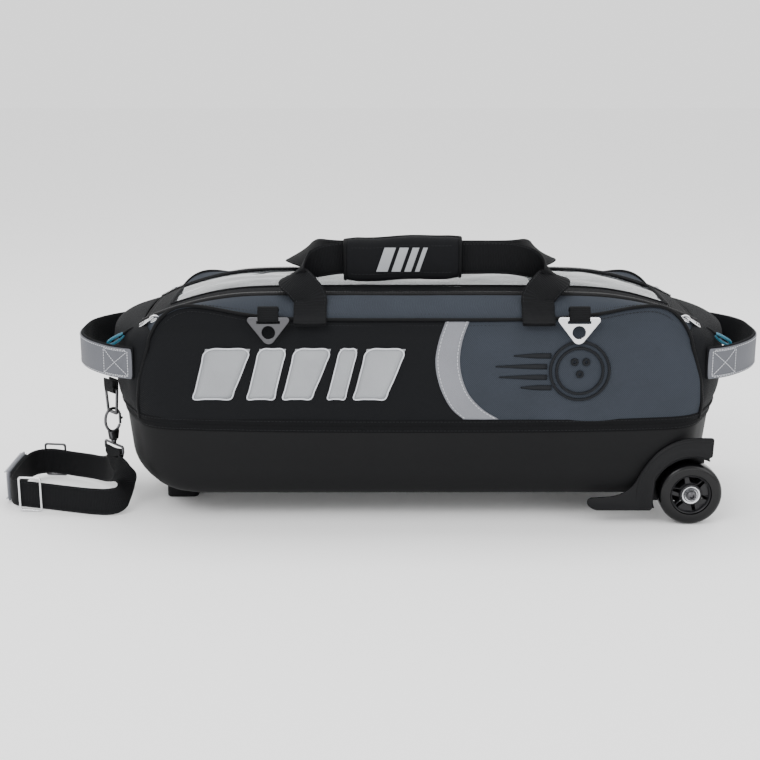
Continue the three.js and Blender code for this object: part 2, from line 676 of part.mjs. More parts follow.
// The strap stands on its edge on the floor and returns to the eye at both ends.
const STRAP_ROUTE = [
  { at: [-414, -61, 71.5], wide: [0.67, -0.74, 0] },
  { at: [-414, -61, 66], wide: [0.67, -0.74, 0] },
  { at: [-408, -70, 56], wide: [0.6, -0.65, -0.4] },
  { at: [-400, -84, 38], wide: [0.35, -0.35, -0.85] },
  { at: [-402, -98, 26], wide: [0, 0, -1] },
  { at: [-416, -104, 21], wide: [0, 0, -1] },
  { at: [-440, -101, 20], wide: [0, 0, -1] },
  { at: [-470, -94, 20.5], wide: [0, 0, -1] },
  { at: [-500, -88, 22], wide: [0, 0, -1] },
  { at: [-529, -84, 24], wide: [0, 0, -1] },
  { at: [-550, -78, 24.5], wide: [0, 0, -1] },
  { at: [-561, -62, 24.5], wide: [0, 0, -1] },
  { at: [-563, -30, 24.5], wide: [0, 0, -1] },
  { at: [-563, 10, 24.5], wide: [0, 0, -1] },
  { at: [-560, 42, 24.5], wide: [0, 0, -1] },
  { at: [-549, 58, 24.5], wide: [0, 0, -1] },
  { at: [-529, 62, 24], wide: [0, 0, -1] },
  { at: [-500, 52, 23], wide: [0, 0, -1] },
  { at: [-470, 34, 25], wide: [0, 0, -1] },
  { at: [-445, 8, 30], wide: [0, 0, -1] },
  { at: [-432, -18, 42], wide: [0.15, -0.15, -1] },
  { at: [-425, -38, 56], wide: [0.45, -0.5, -0.6] },
  { at: [-420, -53, 66], wide: [0.67, -0.74, 0] },
  { at: [-420, -53, 71.5], wide: [0.67, -0.74, 0] },
];

function strapSlider(x, y, outward) {
  const frame = roundedRectangle(33, 50, 4);
  frame.holes.push(new THREE.Path(roundedRectangle(28, 45, 2).getPoints(3)));
  const g = sideways(frame, -1.3, 1.3, 3).rotateZ(STRAP_SLIDER_YAW);
  return g.translate(x, y + outward * 3.2, 25.6);
}

function strapGrip() {
  return ribbon([
    { at: [-568.4, -50, 25], wide: [0, 0, 1] },
    { at: [-569, -30, 25], wide: [0, 0, 1] },
    { at: [-569, 10, 25], wide: [0, 0, 1] },
    { at: [-567.6, 36, 25], wide: [0, 0, 1] },
  ], 44, 7, 8);
}

function tow() {
  const frame = new THREE.Group();
  frame.position.set(TOW.x, TOW.y, TOW.z);
  frame.rotation.z = THREE.MathUtils.degToRad(TOW.yaw);
  part.add(frame);
  addPart('tow_tab', barLoop(24, 3.4, 1.2, 15).translate(-12, 0, 0), 'black_cloth', frame);
  addPart('tow_ring', towRing(), 'gunmetal', frame);
  const hook = new THREE.Group();
  hook.position.set(0, 0, -43.5);
  hook.rotation.z = Math.PI / 2;
  frame.add(hook);
  addPart('snap_hook', snapHook(), 'gunmetal', hook);
  addPart('hook_gate', hookGate(), 'gunmetal', hook);
  const eye = addPart('swivel_eye', swivelEye(), 'gunmetal', frame);
  eye.position.set(0, 0, hook.position.z - 39);
  addPart('tow_strap', ribbon(STRAP_ROUTE, STRAP_WIDTH, STRAP_THICK, 64), 'black_cloth');
  addPart('strap_slider_near', strapSlider(-529, -84, -1), 'chrome');
  addPart('strap_slider_far', strapSlider(-529, 62, 1), 'gunmetal');
  addPart('strap_grip', strapGrip(), 'silver_cloth');
}

// ---------------------------------------------------------------- assembly
addPart('lower_tub', lowerTub(), 'tub');
const shell = softUpper();
lid(shell);
inside();
runningGear();
piping();
addPart('front_handle_webbing', carryHandle(-1), 'black_cloth');
addPart('rear_handle_webbing', carryHandle(1), 'black_cloth');
addPart('handle_wrap', handleWrap(), 'black_cloth');
addPart('grab_handle_left', grabHandle(-1), 'silver_cloth');
addPart('grab_handle_right', grabHandle(1), 'silver_cloth');
rings();
zipSliders(shell);
tow();

export default part;
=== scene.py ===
"""Rolling bowling bag: the visual model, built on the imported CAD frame. Metres, +Z up."""
import json
import math

import bpy
import numpy as np
from mathutils import Matrix, Vector, noise


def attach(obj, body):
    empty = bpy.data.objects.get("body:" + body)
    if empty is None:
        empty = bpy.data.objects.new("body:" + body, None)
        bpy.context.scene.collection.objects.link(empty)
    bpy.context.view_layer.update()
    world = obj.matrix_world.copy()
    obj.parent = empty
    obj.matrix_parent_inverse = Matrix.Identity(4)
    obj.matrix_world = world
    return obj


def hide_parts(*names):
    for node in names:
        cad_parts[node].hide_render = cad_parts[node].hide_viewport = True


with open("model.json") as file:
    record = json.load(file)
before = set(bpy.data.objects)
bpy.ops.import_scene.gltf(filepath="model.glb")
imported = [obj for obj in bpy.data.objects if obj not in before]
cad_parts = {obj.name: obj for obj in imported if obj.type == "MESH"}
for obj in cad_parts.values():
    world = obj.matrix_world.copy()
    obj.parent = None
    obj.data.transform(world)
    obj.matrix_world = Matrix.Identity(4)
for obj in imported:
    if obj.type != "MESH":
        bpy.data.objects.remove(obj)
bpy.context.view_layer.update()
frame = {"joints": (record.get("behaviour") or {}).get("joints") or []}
MM = 0.001


# ---------------------------------------------------------------- stage
def aim(obj, target):
    turn = Vector(target) - obj.location
    obj.rotation_euler = turn.to_track_quat("-Z", "Y").to_euler()


def camera():
    data = bpy.data.cameras.new("camera")
    data.lens, data.sensor_width = 63.8, 36
    data.clip_end = 30
    cam = bpy.data.objects.new("camera", data)
    bpy.context.collection.objects.link(cam)
    cam.location = (-0.052, -1.823, 0.646)
    aim(cam, (-0.052, 0, 0.1635))
    bpy.context.scene.camera = cam


def area_light(name, place, target, size, power):
    data = bpy.data.lights.new(name, "AREA")
    data.shape, data.size, data.size_y, data.energy = "RECTANGLE", size[0], size[1], power
    lamp = bpy.data.objects.new(name, data)
    bpy.context.collection.objects.link(lamp)
    lamp.location = place
    aim(lamp, target)


def studio():
    world = bpy.data.worlds.new("studio")
    world.use_nodes = True
    world.node_tree.nodes["Background"].inputs[0].default_value = (1, 1, 1, 1)
    world.node_tree.nodes["Background"].inputs[1].default_value = 1.5
    bpy.context.scene.world = world
    area_light("key_light", (-1.4, -2.2, 2.3), (0, 0, 0.15), (1.8, 1.2), 44)
    area_light("fill_light", (1.9, -1.6, 1.3), (0.1, 0, 0.2), (1.4, 1.4), 16)
    area_light("top_light", (0, 0.5, 2.2), (0, 0, 0.3), (2.4, 0.9), 30)
    area_light("low_light", (0.2, -2.4, 0.5), (0, 0, 0.12), (2.2, 0.5), 7)
    mesh = bpy.data.meshes.new("floor")
    mesh.from_pydata([(-9, -9, 0), (9, -9, 0), (9, 9, 0), (-9, 9, 0)], [], [(0, 1, 2, 3)])
    floor = bpy.data.objects.new("floor", mesh)
    bpy.context.collection.objects.link(floor)
    floor.location.z = -0.0002
    paper = bpy.data.materials.new("paper")
    paper.use_nodes = True
    paper.node_tree.nodes["Principled BSDF"].inputs["Base Color"].default_value = (0.96, 0.96, 0.96, 1)
    paper.node_tree.nodes["Principled BSDF"].inputs["Roughness"].default_value = 0.9
    floor.data.materials.append(paper)


# ---------------------------------------------------------------- materials
def material(name, color, roughness, metallic=0.0, **shader):
    mat = bpy.data.materials.new(name)
    mat.use_nodes = True
    bsdf = mat.node_tree.nodes["Principled BSDF"]
    bsdf.inputs["Base Color"].default_value = (*color, 1)
    bsdf.inputs["Roughness"].default_value = roughness
    bsdf.inputs["Metallic"].default_value = metallic
    for key, value in shader.items():
        bsdf.inputs[key.replace("_", " ")].default_value = value
    return mat


def node(mat, kind, **values):
    n = mat.node_tree.nodes.new(kind)
    for key, value in values.items():
        if key in n.inputs:
            n.inputs[key].default_value = value
        else:
            setattr(n, key, value)
    return n


def link(mat, a, out, b, into):
    mat.node_tree.links.new(a.outputs[out], b.inputs[into])


def coordinates(mat):
    return node(mat, "ShaderNodeTexCoord")


def math_node(mat, operation, *values):
    n = node(mat, "ShaderNodeMath", operation=operation)
    for i, value in enumerate(values):
        if isinstance(value, (int, float)):
            n.inputs[i].default_value = value
        else:
            link(mat, value[0], value[1], n, i)
    return n


def cells(mat, source, pitch, lean):
    """Diagonal ribs of a twill weave: a wave across a leaning line, in metres."""
    split = node(mat, "ShaderNodeSeparateXYZ")
    link(mat, *source, split, 0)
    across = math_node(mat, "ADD", (split, 0), (split, 1))
    leaning = math_node(mat, "MULTIPLY", (split, 2), lean)
    sum_ = math_node(mat, "ADD", (across, 0), (leaning, 0))
    wave = math_node(mat, "SINE", (math_node(mat, "MULTIPLY", (sum_, 0), 2 * math.pi / pitch), 0))
    other = math_node(mat, "SUBTRACT", (across, 0), (leaning, 0))
    thread = math_node(mat, "SINE", (math_node(mat, "MULTIPLY", (other, 0), 2 * math.pi / (pitch * 0.8)), 0))
    return math_node(mat, "MULTIPLY_ADD", (thread, 0), 0.45, (wave, 0))


def tinted(mat, color, height, low, high, grain=120.0, spread=0.25):
    """Colour that varies with the weave's height and with a soft cloud of wear."""
    bsdf = mat.node_tree.nodes["Principled BSDF"]
    ramp = node(mat, "ShaderNodeMapRange")
    ramp.inputs["From Min"].default_value, ramp.inputs["From Max"].default_value = -1.45, 1.45
    ramp.inputs["To Min"].default_value, ramp.inputs["To Max"].default_value = low, high
    link(mat, *height, ramp, 0)
    cloud = node(mat, "ShaderNodeTexNoise", Scale=grain / 12, Detail=5.0, Roughness=0.6)
    link(mat, coordinates(mat), "Object", cloud, "Vector")
    shade = node(mat, "ShaderNodeMapRange")
    shade.inputs["To Min"].default_value, shade.inputs["To Max"].default_value = 1 - spread, 1 + spread
    link(mat, cloud, 0, shade, 0)
    gain = math_node(mat, "MULTIPLY", (ramp, 0), (shade, 0))
    scale = node(mat, "ShaderNodeVectorMath", operation="SCALE")
    scale.inputs[0].default_value = color
    link(mat, gain, 0, scale, "Scale")
    link(mat, scale, 0, bsdf, "Base Color")
    rough = node(mat, "ShaderNodeMapRange")
    base = bsdf.inputs["Roughness"].default_value
    rough.inputs["To Min"].default_value, rough.inputs["To Max"].default_value = base - 0.1, base + 0.1
    link(mat, cloud, 0, rough, 0)
    link(mat, rough, 0, bsdf, "Roughness")
    return scale


def bump(mat, height, distance, strength=1.0):
    bsdf = mat.node_tree.nodes["Principled BSDF"]
    n = node(mat, "ShaderNodeBump", Strength=strength, Distance=distance)
    link(mat, *height, n, "Height")
    link(mat, n, 0, bsdf, "Normal")
    return n


def woven(name, color, pitch=1.3 * MM, lean=1.0, roughness=0.75, depth=0.12 * MM, low=0.7, high=1.3,
          **shader):
    mat = material(name, color, roughness, **{"Specular_IOR_Level": 0.12, **shader})
    height = cells(mat, (coordinates(mat), "Object"), pitch, lean)
    tinted(mat, color, (height, 0), low, high)
    bump(mat, (height, 0), depth, 0.6)
    return mat


def grained(name, color, roughness, scale=900.0, depth=0.15 * MM, metallic=0.0, spread=0.2, **shader):
    mat = material(name, color, roughness, metallic, **{"Specular_IOR_Level": 0.16, **shader})
    grain = node(mat, "ShaderNodeTexNoise", Scale=scale, Detail=3.0)
    link(mat, coordinates(mat), "Object", grain, "Vector")
    centred = math_node(mat, "MULTIPLY_ADD", (grain, 0), 2.9, -1.45)
    tinted(mat, color, (centred, 0), 0.85, 1.15, spread=spread)
    bump(mat, (grain, 0), depth, 0.5)
    return mat


def ribbed(name, color, pitch=2.2 * MM, roughness=0.7, depth=0.3 * MM, **shader):
    """Webbing: ribs along one UV direction with a fine cross thread."""
    mat = material(name, color, roughness, **{"Specular_IOR_Level": 0.12, **shader})
    uv = node(mat, "ShaderNodeUVMap")
    split = node(mat, "ShaderNodeSeparateXYZ")
    link(mat, uv, 0, split, 0)
    rib = math_node(mat, "SINE", (math_node(mat, "MULTIPLY", (split, 0), 2 * math.pi / pitch), 0))
    cross = math_node(mat, "SINE", (math_node(mat, "MULTIPLY", (split, 1), 2 * math.pi / (1.5 * MM)), 0))
    height = math_node(mat, "MULTIPLY_ADD", (cross, 0), 0.45, (rib, 0))
    tinted(mat, color, (height, 0), 0.6, 1.5)
    bump(mat, (height, 0), depth, 0.7)
    return mat


def glassy(name, color, roughness, transmission, ior):
    mat = material(name, color, roughness)
    bsdf = mat.node_tree.nodes["Principled BSDF"]
    bsdf.inputs["Transmission Weight"].default_value = transmission
    bsdf.inputs["IOR"].default_value = ior
    ripple = node(mat, "ShaderNodeTexNoise", Scale=16.0, Detail=2.0)
    link(mat, coordinates(mat), "Object", ripple, "Vector")
    bump(mat, (ripple, 0), 3 * MM, 0.25)
    return mat


def metal(name, color, roughness):
    mat = material(name, color, roughness, 1.0)
    bsdf = mat.node_tree.nodes["Principled BSDF"]
    smear = node(mat, "ShaderNodeTexNoise", Scale=140.0, Detail=4.0)
    link(mat, coordinates(mat), "Object", smear, "Vector")
    rough = node(mat, "ShaderNodeMapRange")
    rough.inputs["To Min"].default_value, rough.inputs["To Max"].default_value = roughness, roughness + 0.16
    link(mat, smear, 0, rough, 0)
    link(mat, rough, 0, bsdf, "Roughness")
    bump(mat, (smear, 0), 0.04 * MM, 0.3)
    return mat


BLACK = (0.0042, 0.0046, 0.0056)
GREY = (0.027, 0.032, 0.041)
SILVER = (0.19, 0.195, 0.215)
MAT = {
    "black_cloth": woven("black_twill", BLACK),
    "grey_cloth": woven("grey_twill", GREY, pitch=2.6 * MM, low=0.5, high=1.5, depth=0.3 * MM),
    "silver_cloth": woven("silver_weave", SILVER, pitch=1.1 * MM, roughness=0.5, low=0.82, high=1.15),
    "stitched": woven("satin_stitch", (0.3, 0.31, 0.325), pitch=0.7 * MM, lean=0.2, roughness=0.42, low=0.7,
                      high=1.2),
    "dark_stitch": woven("dark_satin_stitch", (0.008, 0.009, 0.011), pitch=0.7 * MM, lean=0.2, roughness=0.4),
    "tub": grained("moulded_tub", (0.0024, 0.0025, 0.003), 0.62, scale=1500.0, depth=0.08 * MM),
    "seam_band": woven("seam_tape", (0.003, 0.0032, 0.0038), pitch=0.9 * MM, roughness=0.8),
    "lid_binding": woven("lid_binding", (0.0045, 0.0048, 0.0057), pitch=0.9 * MM),
    "piping": woven("piping_cloth", (0.003, 0.0032, 0.0038), pitch=0.8 * MM, roughness=0.6),
    "webbing": ribbed("webbing", (0.0036, 0.0038, 0.0045)),
    "silver_webbing": ribbed("silver_webbing", (0.095, 0.098, 0.11), pitch=1.8 * MM, roughness=0.5,
                             depth=0.12 * MM),
    "wrap_cloth": woven("wrap_twill", (0.0045, 0.0048, 0.0058), pitch=1.0 * MM),
    "thread": grained("thread", (0.0085, 0.009, 0.0105), 0.45, scale=2500.0),
    "silver_thread": grained("silver_thread", (0.5, 0.51, 0.54), 0.4, scale=2500.0),
    "zip_tape": woven("zip_tape", (0.003, 0.0032, 0.0037), pitch=0.7 * MM, roughness=0.6),
    "zip_coil": grained("zip_coil", (0.012, 0.012, 0.013), 0.3, scale=2500.0),
    "moulding": grained("moulded_plastic", (0.0032, 0.0033, 0.004), 0.42, scale=1800.0, depth=0.06 * MM,
                        Specular_IOR_Level=0.16),
    "board": grained("hard_board", (0.03, 0.03, 0.03), 0.8),
    "foam": grained("foam", (0.03, 0.032, 0.036), 0.9, scale=500.0, depth=0.5 * MM),
    "clear_vinyl": glassy("clear_vinyl", (0.86, 0.9, 0.92), 0.06, 0.93, 1.3),
    "teal_cord": glassy("teal_tube", (0.035, 0.19, 0.28), 0.25, 0.45, 1.4),
    "gunmetal": metal("gunmetal", (0.085, 0.085, 0.09), 0.22),
    "chrome": metal("chrome", (0.66, 0.665, 0.68), 0.12),
    "bearing": metal("bearing_steel", (0.6, 0.61, 0.63), 0.16),
    "tyre": grained("urethane_tyre", (0.0026, 0.0026, 0.003), 0.2, scale=700.0, depth=0.05 * MM,
                    Specular_IOR_Level=0.26),
    "hub": grained("hub_plastic", (0.0075, 0.0075, 0.0088), 0.36, scale=1600.0, depth=0.05 * MM,
                   Specular_IOR_Level=0.3),
}


# ---------------------------------------------------------------- mesh helpers
def piece(name, verts, faces, mat, body, uv=None, smooth=True):
    mesh = bpy.data.meshes.new(name)
    mesh.from_pydata([tuple(map(float, v)) for v in verts], [], [tuple(map(int, f)) for f in faces])
    if uv is not None:
        layer = mesh.uv_layers.new(name="length")
        for loop in mesh.loops:
            layer.data[loop.index].uv = uv[loop.vertex_index]
    mesh.validate()
    if smooth:
        mesh.polygons.foreach_set("use_smooth", [True] * len(mesh.polygons))
    obj = bpy.data.objects.new(name, mesh)
    bpy.context.collection.objects.link(obj)
    mesh.materials.append(MAT[mat])
    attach(obj, body)
    return obj


def apply(obj, kind, **values):
    mod = obj.modifiers.new(kind.lower(), kind)
    for key, value in values.items():
        setattr(mod, key, value)
    return mod


def baked(obj):
    """Replaces the mesh by the result of its modifiers."""
    graph = bpy.context.evaluated_depsgraph_get()
    result = bpy.data.meshes.new_from_object(obj.evaluated_get(graph))
    old = obj.data
    obj.modifiers.clear()
    obj.data = result
    bpy.data.meshes.remove(old)
    return obj


def grid_faces(rows, cols, loop=False):
    faces = []
    for r in range(rows - 1):
        for c in range(cols if loop else cols - 1):
            d = (c + 1) % cols
            faces.append((r * cols + c, r * cols + d, (r + 1) * cols + d, (r + 1) * cols + c))
    return faces


def cloth_panel(name, points, thick, mat, body, level=1, wrinkle=0.0, flip=False):
    """points is a (rows, cols, 3) grid of the outer face; the panel gets a thickness inwards."""
    rows, cols, _ = points.shape
    faces = grid_faces(rows, cols)
    if flip:
        faces = [f[::-1] for f in faces]
    obj = piece(name, points.reshape(-1, 3), faces, mat, body)
    if wrinkle:
        crease(obj, wrinkle)
    apply(obj, "SOLIDIFY", thickness=thick, offset=-1.0, use_rim=True)
    if level:
        apply(obj, "SUBSURF", levels=level, render_levels=level)
    return obj


def crease(obj, amount, scale=11.0, seed=0.0):
    """Soft creases: the mesh moves along its normals by folded noise."""
    mesh = obj.data
    normals = [v.normal.copy() for v in mesh.vertices]
    for v, n in zip(mesh.vertices, normals):
        p = v.co * scale + Vector((seed, 3.1, 7.7))
        stretched = Vector((p.x * 0.8 + p.z * 0.9, p.y, p.z * 1.2 - p.x * 0.35))
        broad = noise.noise(stretched)
        fold = 1 - abs(noise.noise(stretched * 2.1 + Vector((5, 1, 2)))) * 2
        v.co += n * amount * (0.6 * broad + 0.5 * fold * max(0.0, broad + 0.2))


def rod(name, points, radius, mat, body, closed=False, sides=10):
    """A round rod through points, as a mesh tube."""
    pts = [Vector(p) for p in points]
    n = len(pts)
    rings, faces = [], []
    normal = None
    for i, p in enumerate(pts):
        if closed:
            tangent = (pts[(i + 1) % n] - pts[i - 1]).normalized()
        else:
            tangent = (pts[min(i + 1, n - 1)] - pts[max(i - 1, 0)]).normalized()
        if normal is None:
            normal = tangent.orthogonal().normalized()
        normal = (normal - tangent * normal.dot(tangent)).normalized()
        side = tangent.cross(normal)
        r = radius[i] if hasattr(radius, "__len__") else radius
        for k in range(sides):
            a = 2 * math.pi * k / sides
            rings.append(p + (normal * math.cos(a) + side * math.sin(a)) * r)
    faces = grid_faces(n, sides, True)
    if closed:
        last = (n - 1) * sides
        start = min(range(sides), key=lambda k: (rings[k] - rings[last]).length)
        for k in range(sides):
            a, b = last + k, last + (k + 1) % sides
            faces.append((a, b, (start + k + 1) % sides, (start + k) % sides))
    else:
        faces += [tuple(range(sides))[::-1], tuple((n - 1) * sides + k for k in range(sides))]
    return piece(name, rings, faces, mat, body)


def smooth_path(points, steps, closed=False):
    """Evenly spaced points on a Catmull-Rom curve."""
    pts = [np.array(p, float) for p in points]
    n = len(pts)
    span = n if closed else n - 1
    dense = []
    for i in range(span):
        p0 = pts[(i - 1) % n] if closed or i > 0 else 2 * pts[0] - pts[1]
        p1, p2 = pts[i], pts[(i + 1) % n]
        p3 = pts[(i + 2) % n] if closed or i + 2 < n else 2 * pts[-1] - pts[-2]
        for t in np.linspace(0, 1, 16, endpoint=False):
            dense.append(0.5 * (2 * p1 + (p2 - p0) * t + (2 * p0 - 5 * p1 + 4 * p2 - p3) * t * t
                                + (3 * p1 - p0 - 3 * p2 + p3) * t ** 3))
    dense.append(pts[0] if closed else pts[-1])
    dense = np.array(dense)
    along = np.concatenate([[0], np.cumsum(np.linalg.norm(np.diff(dense, axis=0), axis=1))])
    want = np.linspace(0, along[-1], steps, endpoint=not closed)
    return np.stack([np.interp(want, along, dense[:, k]) for k in range(dense.shape[1])], axis=1)


def strap(name, stops, width, thick, mat, body, steps=80):
    """A strip of webbing. Each stop is (point, direction of the width), in millimetres."""
    joined = smooth_path([list(p) + list(np.array(w, float) * 40) for p, w in stops], steps)
    centre, wide = joined[:, :3] * MM, joined[:, 3:]
    tangent = np.gradient(centre, axis=0)
    tangent /= np.linalg.norm(tangent, axis=1)[:, None]
    wide -= tangent * (wide * tangent).sum(1)[:, None]
    wide /= np.linalg.norm(wide, axis=1)[:, None]
    normal = np.cross(tangent, wide)
    along = np.concatenate([[0], np.cumsum(np.linalg.norm(np.diff(centre, axis=0), axis=1))])
    half, t = width / 2 * MM, thick / 2 * MM
    profile = [(-1, 0), (-0.97, -1), (-0.5, -1), (0, -1), (0.5, -1), (0.97, -1), (1, 0), (0.97, 1), (0.5, 1),
               (0, 1), (-0.5, 1), (-0.97, 1)]
    verts, uv = [], []
    for i in range(steps):
        for a, b in profile:
            verts.append(centre[i] + wide[i] * a * half + normal[i] * b * t)
            uv.append((along[i], a * half + (0.2 if b > 0 else 0)))
    faces = grid_faces(steps, len(profile), True)
    n = len(profile)
    faces += [tuple(range(n))[::-1], tuple((steps - 1) * n + k for k in range(n))]
    obj = piece(name, verts, faces, mat, body, uv)
    apply(obj, "SUBSURF", levels=1, render_levels=1)
    return obj, centre


def lathe(name, profile, centre, axis, mat, body, segments=64):
    """profile is (radius, height along the axis) in millimetres; the axis is 'Y' or 'Z'."""
    verts, faces = [], []
    n = len(profile)
    for s in range(segments):
        a = 2 * math.pi * s / segments
        for r, h in profile:
            x, y = r * math.cos(a) * MM, r * math.sin(a) * MM
            verts.append((centre[0] + x, h * MM, centre[2] + y) if axis == "Y" else (centre[0] + x,
                    centre[1] + y, h * MM))
    for s in range(segments):
        t = (s + 1) % segments
        for k in range(n - 1):
            faces.append((s * n + k, s * n + k + 1, t * n + k + 1, t * n + k))
    obj = piece(name, verts, faces, mat, body)
    weld(obj)
    return obj


def weld(obj, distance=1e-6):
    import bmesh
    bm = bmesh.new()
    bm.from_mesh(obj.data)
    bmesh.ops.remove_doubles(bm, verts=bm.verts, dist=distance)
    bmesh.ops.recalc_face_normals(bm, faces=bm.faces)
    bm.to_mesh(obj.data)
    bm.free()


def plate(name, outline, thick, mat, body, matrix, holes=(), bevel=0.4):
    """A flat plate from an outline in millimetres, with rounded edges, placed by a matrix."""
    curve = bpy.data.curves.new(name, "CURVE")
    curve.dimensions = "2D"
    curve.fill_mode = "BOTH"
    curve.extrude = max(thick / 2 - bevel, 0.02) * MM
    curve.bevel_depth = bevel * MM
    curve.bevel_resolution = 2
    curve.offset = -bevel * MM
    for loop in (outline, *holes):
        spline = curve.splines.new("POLY")
        spline.points.add(len(loop) - 1)
        for point, (x, y) in zip(spline.points, loop):
            point.co = (x * MM, y * MM, 0, 1)
        spline.use_cyclic_u = True
    temp = bpy.data.objects.new(name, curve)
    bpy.context.collection.objects.link(temp)
    graph = bpy.context.evaluated_depsgraph_get()
    mesh = bpy.data.meshes.new_from_object(temp.evaluated_get(graph))
    bpy.data.objects.remove(temp)
    bpy.data.curves.remove(curve)
    mesh.transform(matrix)
    mesh.name = name
    obj = bpy.data.objects.new(name, mesh)
    bpy.context.collection.objects.link(obj)
    mesh.materials.clear()
    mesh.materials.append(MAT[mat])
    weld(obj)
    mesh.polygons.foreach_set("use_smooth", [True] * len(mesh.polygons))
    mesh.set_sharp_from_angle(angle=math.radians(40))
    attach(obj, body)
    return obj


def rounded(width, height, radius, steps=6, cx=0.0, cy=0.0):
    w, h = width / 2 - radius, height / 2 - radius
    corners = [(w, h, 0), (-w, h, 90), (-w, -h, 180), (w, -h, 270)]
    return [(cx + x + radius * math.cos(math.radians(a + 90 * k / steps)),
             cy + y + radius * math.sin(math.radians(a + 90 * k / steps)))
            for x, y, a in corners for k in range(steps + 1)]


def arc(radius, start, end, steps, cx=0.0, cy=0.0, ry=None):
    ry = radius if ry is None else ry
    return [(cx + radius * math.cos(math.radians(a)), cy + ry * math.sin(math.radians(a)))
            for a in np.linspace(start, end, steps)]


def axes(place, x, y, z):
    """A matrix from a place in metres and three directions."""
    m = Matrix.Identity(4)
    for i, v in enumerate((x, y, z)):
        for k in range(3):
            m[k][i] = v[k]
    m.translation = Vector(place)
    return m


def stitches(name, points, normals, mat, body, length=3.2, gap=1.6, radius=0.42):
    """A run of short raised threads along a path, in metres."""
    points, normals = np.asarray(points, float), np.asarray(normals, float)
    along = np.concatenate([[0], np.cumsum(np.linalg.norm(np.diff(points, axis=0), axis=1))])
    count = max(1, int(along[-1] / ((length + gap) * MM)))
    verts, faces = [], []
    profile = [(-1, 0), (-0.6, 0.9), (0.6, 0.9), (1, 0)]
    for i in range(count):
        s0 = i * (length + gap) * MM
        base = len(verts)
        for j, f in enumerate((0, 0.25, 0.75, 1)):
            s = s0 + f * length * MM
            p = np.array([np.interp(s, along, points[:, k]) for k in range(3)])
            q = np.array([np.interp(s + 1e-4, along, points[:, k]) for k in range(3)])
            n = np.array([np.interp(s, along, normals[:, k]) for k in range(3)])
            n /= np.linalg.norm(n)
            t = q - p
            t /= max(np.linalg.norm(t), 1e-9)
            side = np.cross(t, n)
            lift = (0.15 if j in (0, 3) else 1.0)
            for a, b in profile:
                verts.append(p + side * a * radius * MM + n * (b * lift * radius * 1.3 - 0.25 * radius) * MM)
        faces += [(base + r * 4 + c, base + r * 4 + c + 1, base + r * 4 + c + 5, base + r * 4 + c + 4)
                  for r in range(3) for c in range(3)]
    return piece(name, verts, faces, mat, body)


# ---------------------------------------------------------------- the bag's surface, in millimetres
HALF_LENGTH, HALF_WIDTH = 419.0, 135.0
TUB_BOTTOM, TUB_ROUND, SEAM = 38.0, 42.0, 137.0
SHOULDER = 246.0
LID_END, LID_END_Y = 366.0, 82.0


def bezier(a, b, c, n):
    t = np.linspace(0, 1, n)[:, None]
    a, b, c = (np.array(p, float) for p in (a, b, c))
    return (1 - t) ** 2 * a + 2 * t * (1 - t) * b + t * t * c


def quarter_outline():
    side = np.array([[x, -HALF_WIDTH] for x in np.linspace(0, 330, 60)])
    corner = bezier((330, -HALF_WIDTH), (372, -HALF_WIDTH), (386, -105), 30)
    end = bezier((386, -105), (2 * HALF_LENGTH - 386, 0), (386, 105), 61)[:31]
    pts = np.vstack([side, corner[1:], end[1:]])
    along = np.concatenate([[0], np.cumsum(np.linalg.norm(np.diff(pts, axis=0), axis=1))])
    return pts, along


OUTLINE, ALONG = quarter_outline()
QUARTER = ALONG[-1]
SEAM_TOP_W = float(np.interp(352, OUTLINE[:60 + 29, 0], ALONG[:60 + 29]))
SEAM_LOW_W = SEAM_TOP_W + 34


def outline_at(w):
    """The outline point a distance w round from the middle of the front, for w up to two quarters."""
    w = np.abs(np.asarray(w, float))
    far = w > QUARTER
    v = np.where(far, 2 * QUARTER - w, w)
    x, y = np.interp(v, ALONG, OUTLINE[:, 0]), np.interp(v, ALONG, OUTLINE[:, 1])
    return x, np.where(far, -y, y)


def wall_inset(z):
    """How far the wall stands in from the widest outline at a height: lengthwise and crosswise."""
    heights = [38, 80, SEAM, 165, 200, 240, 262, 280]
    lengthwise = [26, 21, 15, 5, 0, 2, 7, 16]
    crosswise = [4, 3, 0, -1.5, -2, 0, 3, 9]
    return np.interp(z, heights, lengthwise), np.interp(z, heights, crosswise)


def wall_point(w, z, side=1, depth=0.0):
    """A point on the upright wall; depth is how far inside the outer face."""
    x, y = outline_at(w)
    dx, dy = wall_inset(z)
    x = x * (HALF_LENGTH - dx - depth) / HALF_LENGTH
    y = y * (HALF_WIDTH - dy - depth) / HALF_WIDTH
    return np.stack([side * x * np.ones_like(z), y * np.ones_like(z), z * np.ones_like(x)], axis=-1)


def edge_curve(count=161):
    """The piped edge of the front panel, from the left shoulder over the top to the right shoulder."""
    right = [(0, 276), (90, 276), (170, 277.5), (225, 283), (270, 291.5), (300, 294.5), (320, 289.5),
             (335, 278), (345, 263), (352, SHOULDER)]
    line = [(-x, z) for x, z in right[:0:-1]] + right
    xz = smooth_path(line, count)
    y = np.array([-130.5 + 5.5 * min(1, max(0, (z - SHOULDER) / 30)) for z in xz[:, 1]])
    return np.stack([xz[:, 0], y, xz[:, 1]], axis=1)


def zip_curve(count=161):
    """The zip line on the front edge of the lid, from end to end."""
    right = [(0, -95, 305), (120, -95, 305), (220, -95, 304), (272, -94, 298), (318, -91, 286),
             (345, -87, 276),
             (366, -82, 266)]
    line = [(-x, y, z) for x, y, z in right[:0:-1]] + right
    return smooth_path(line, count)


EDGE, ZIP = edge_curve(), zip_curve()


def mirrored(points, rear):
    out = np.array(points, float)
    if rear:
        out[..., 1] *= -1
    return out


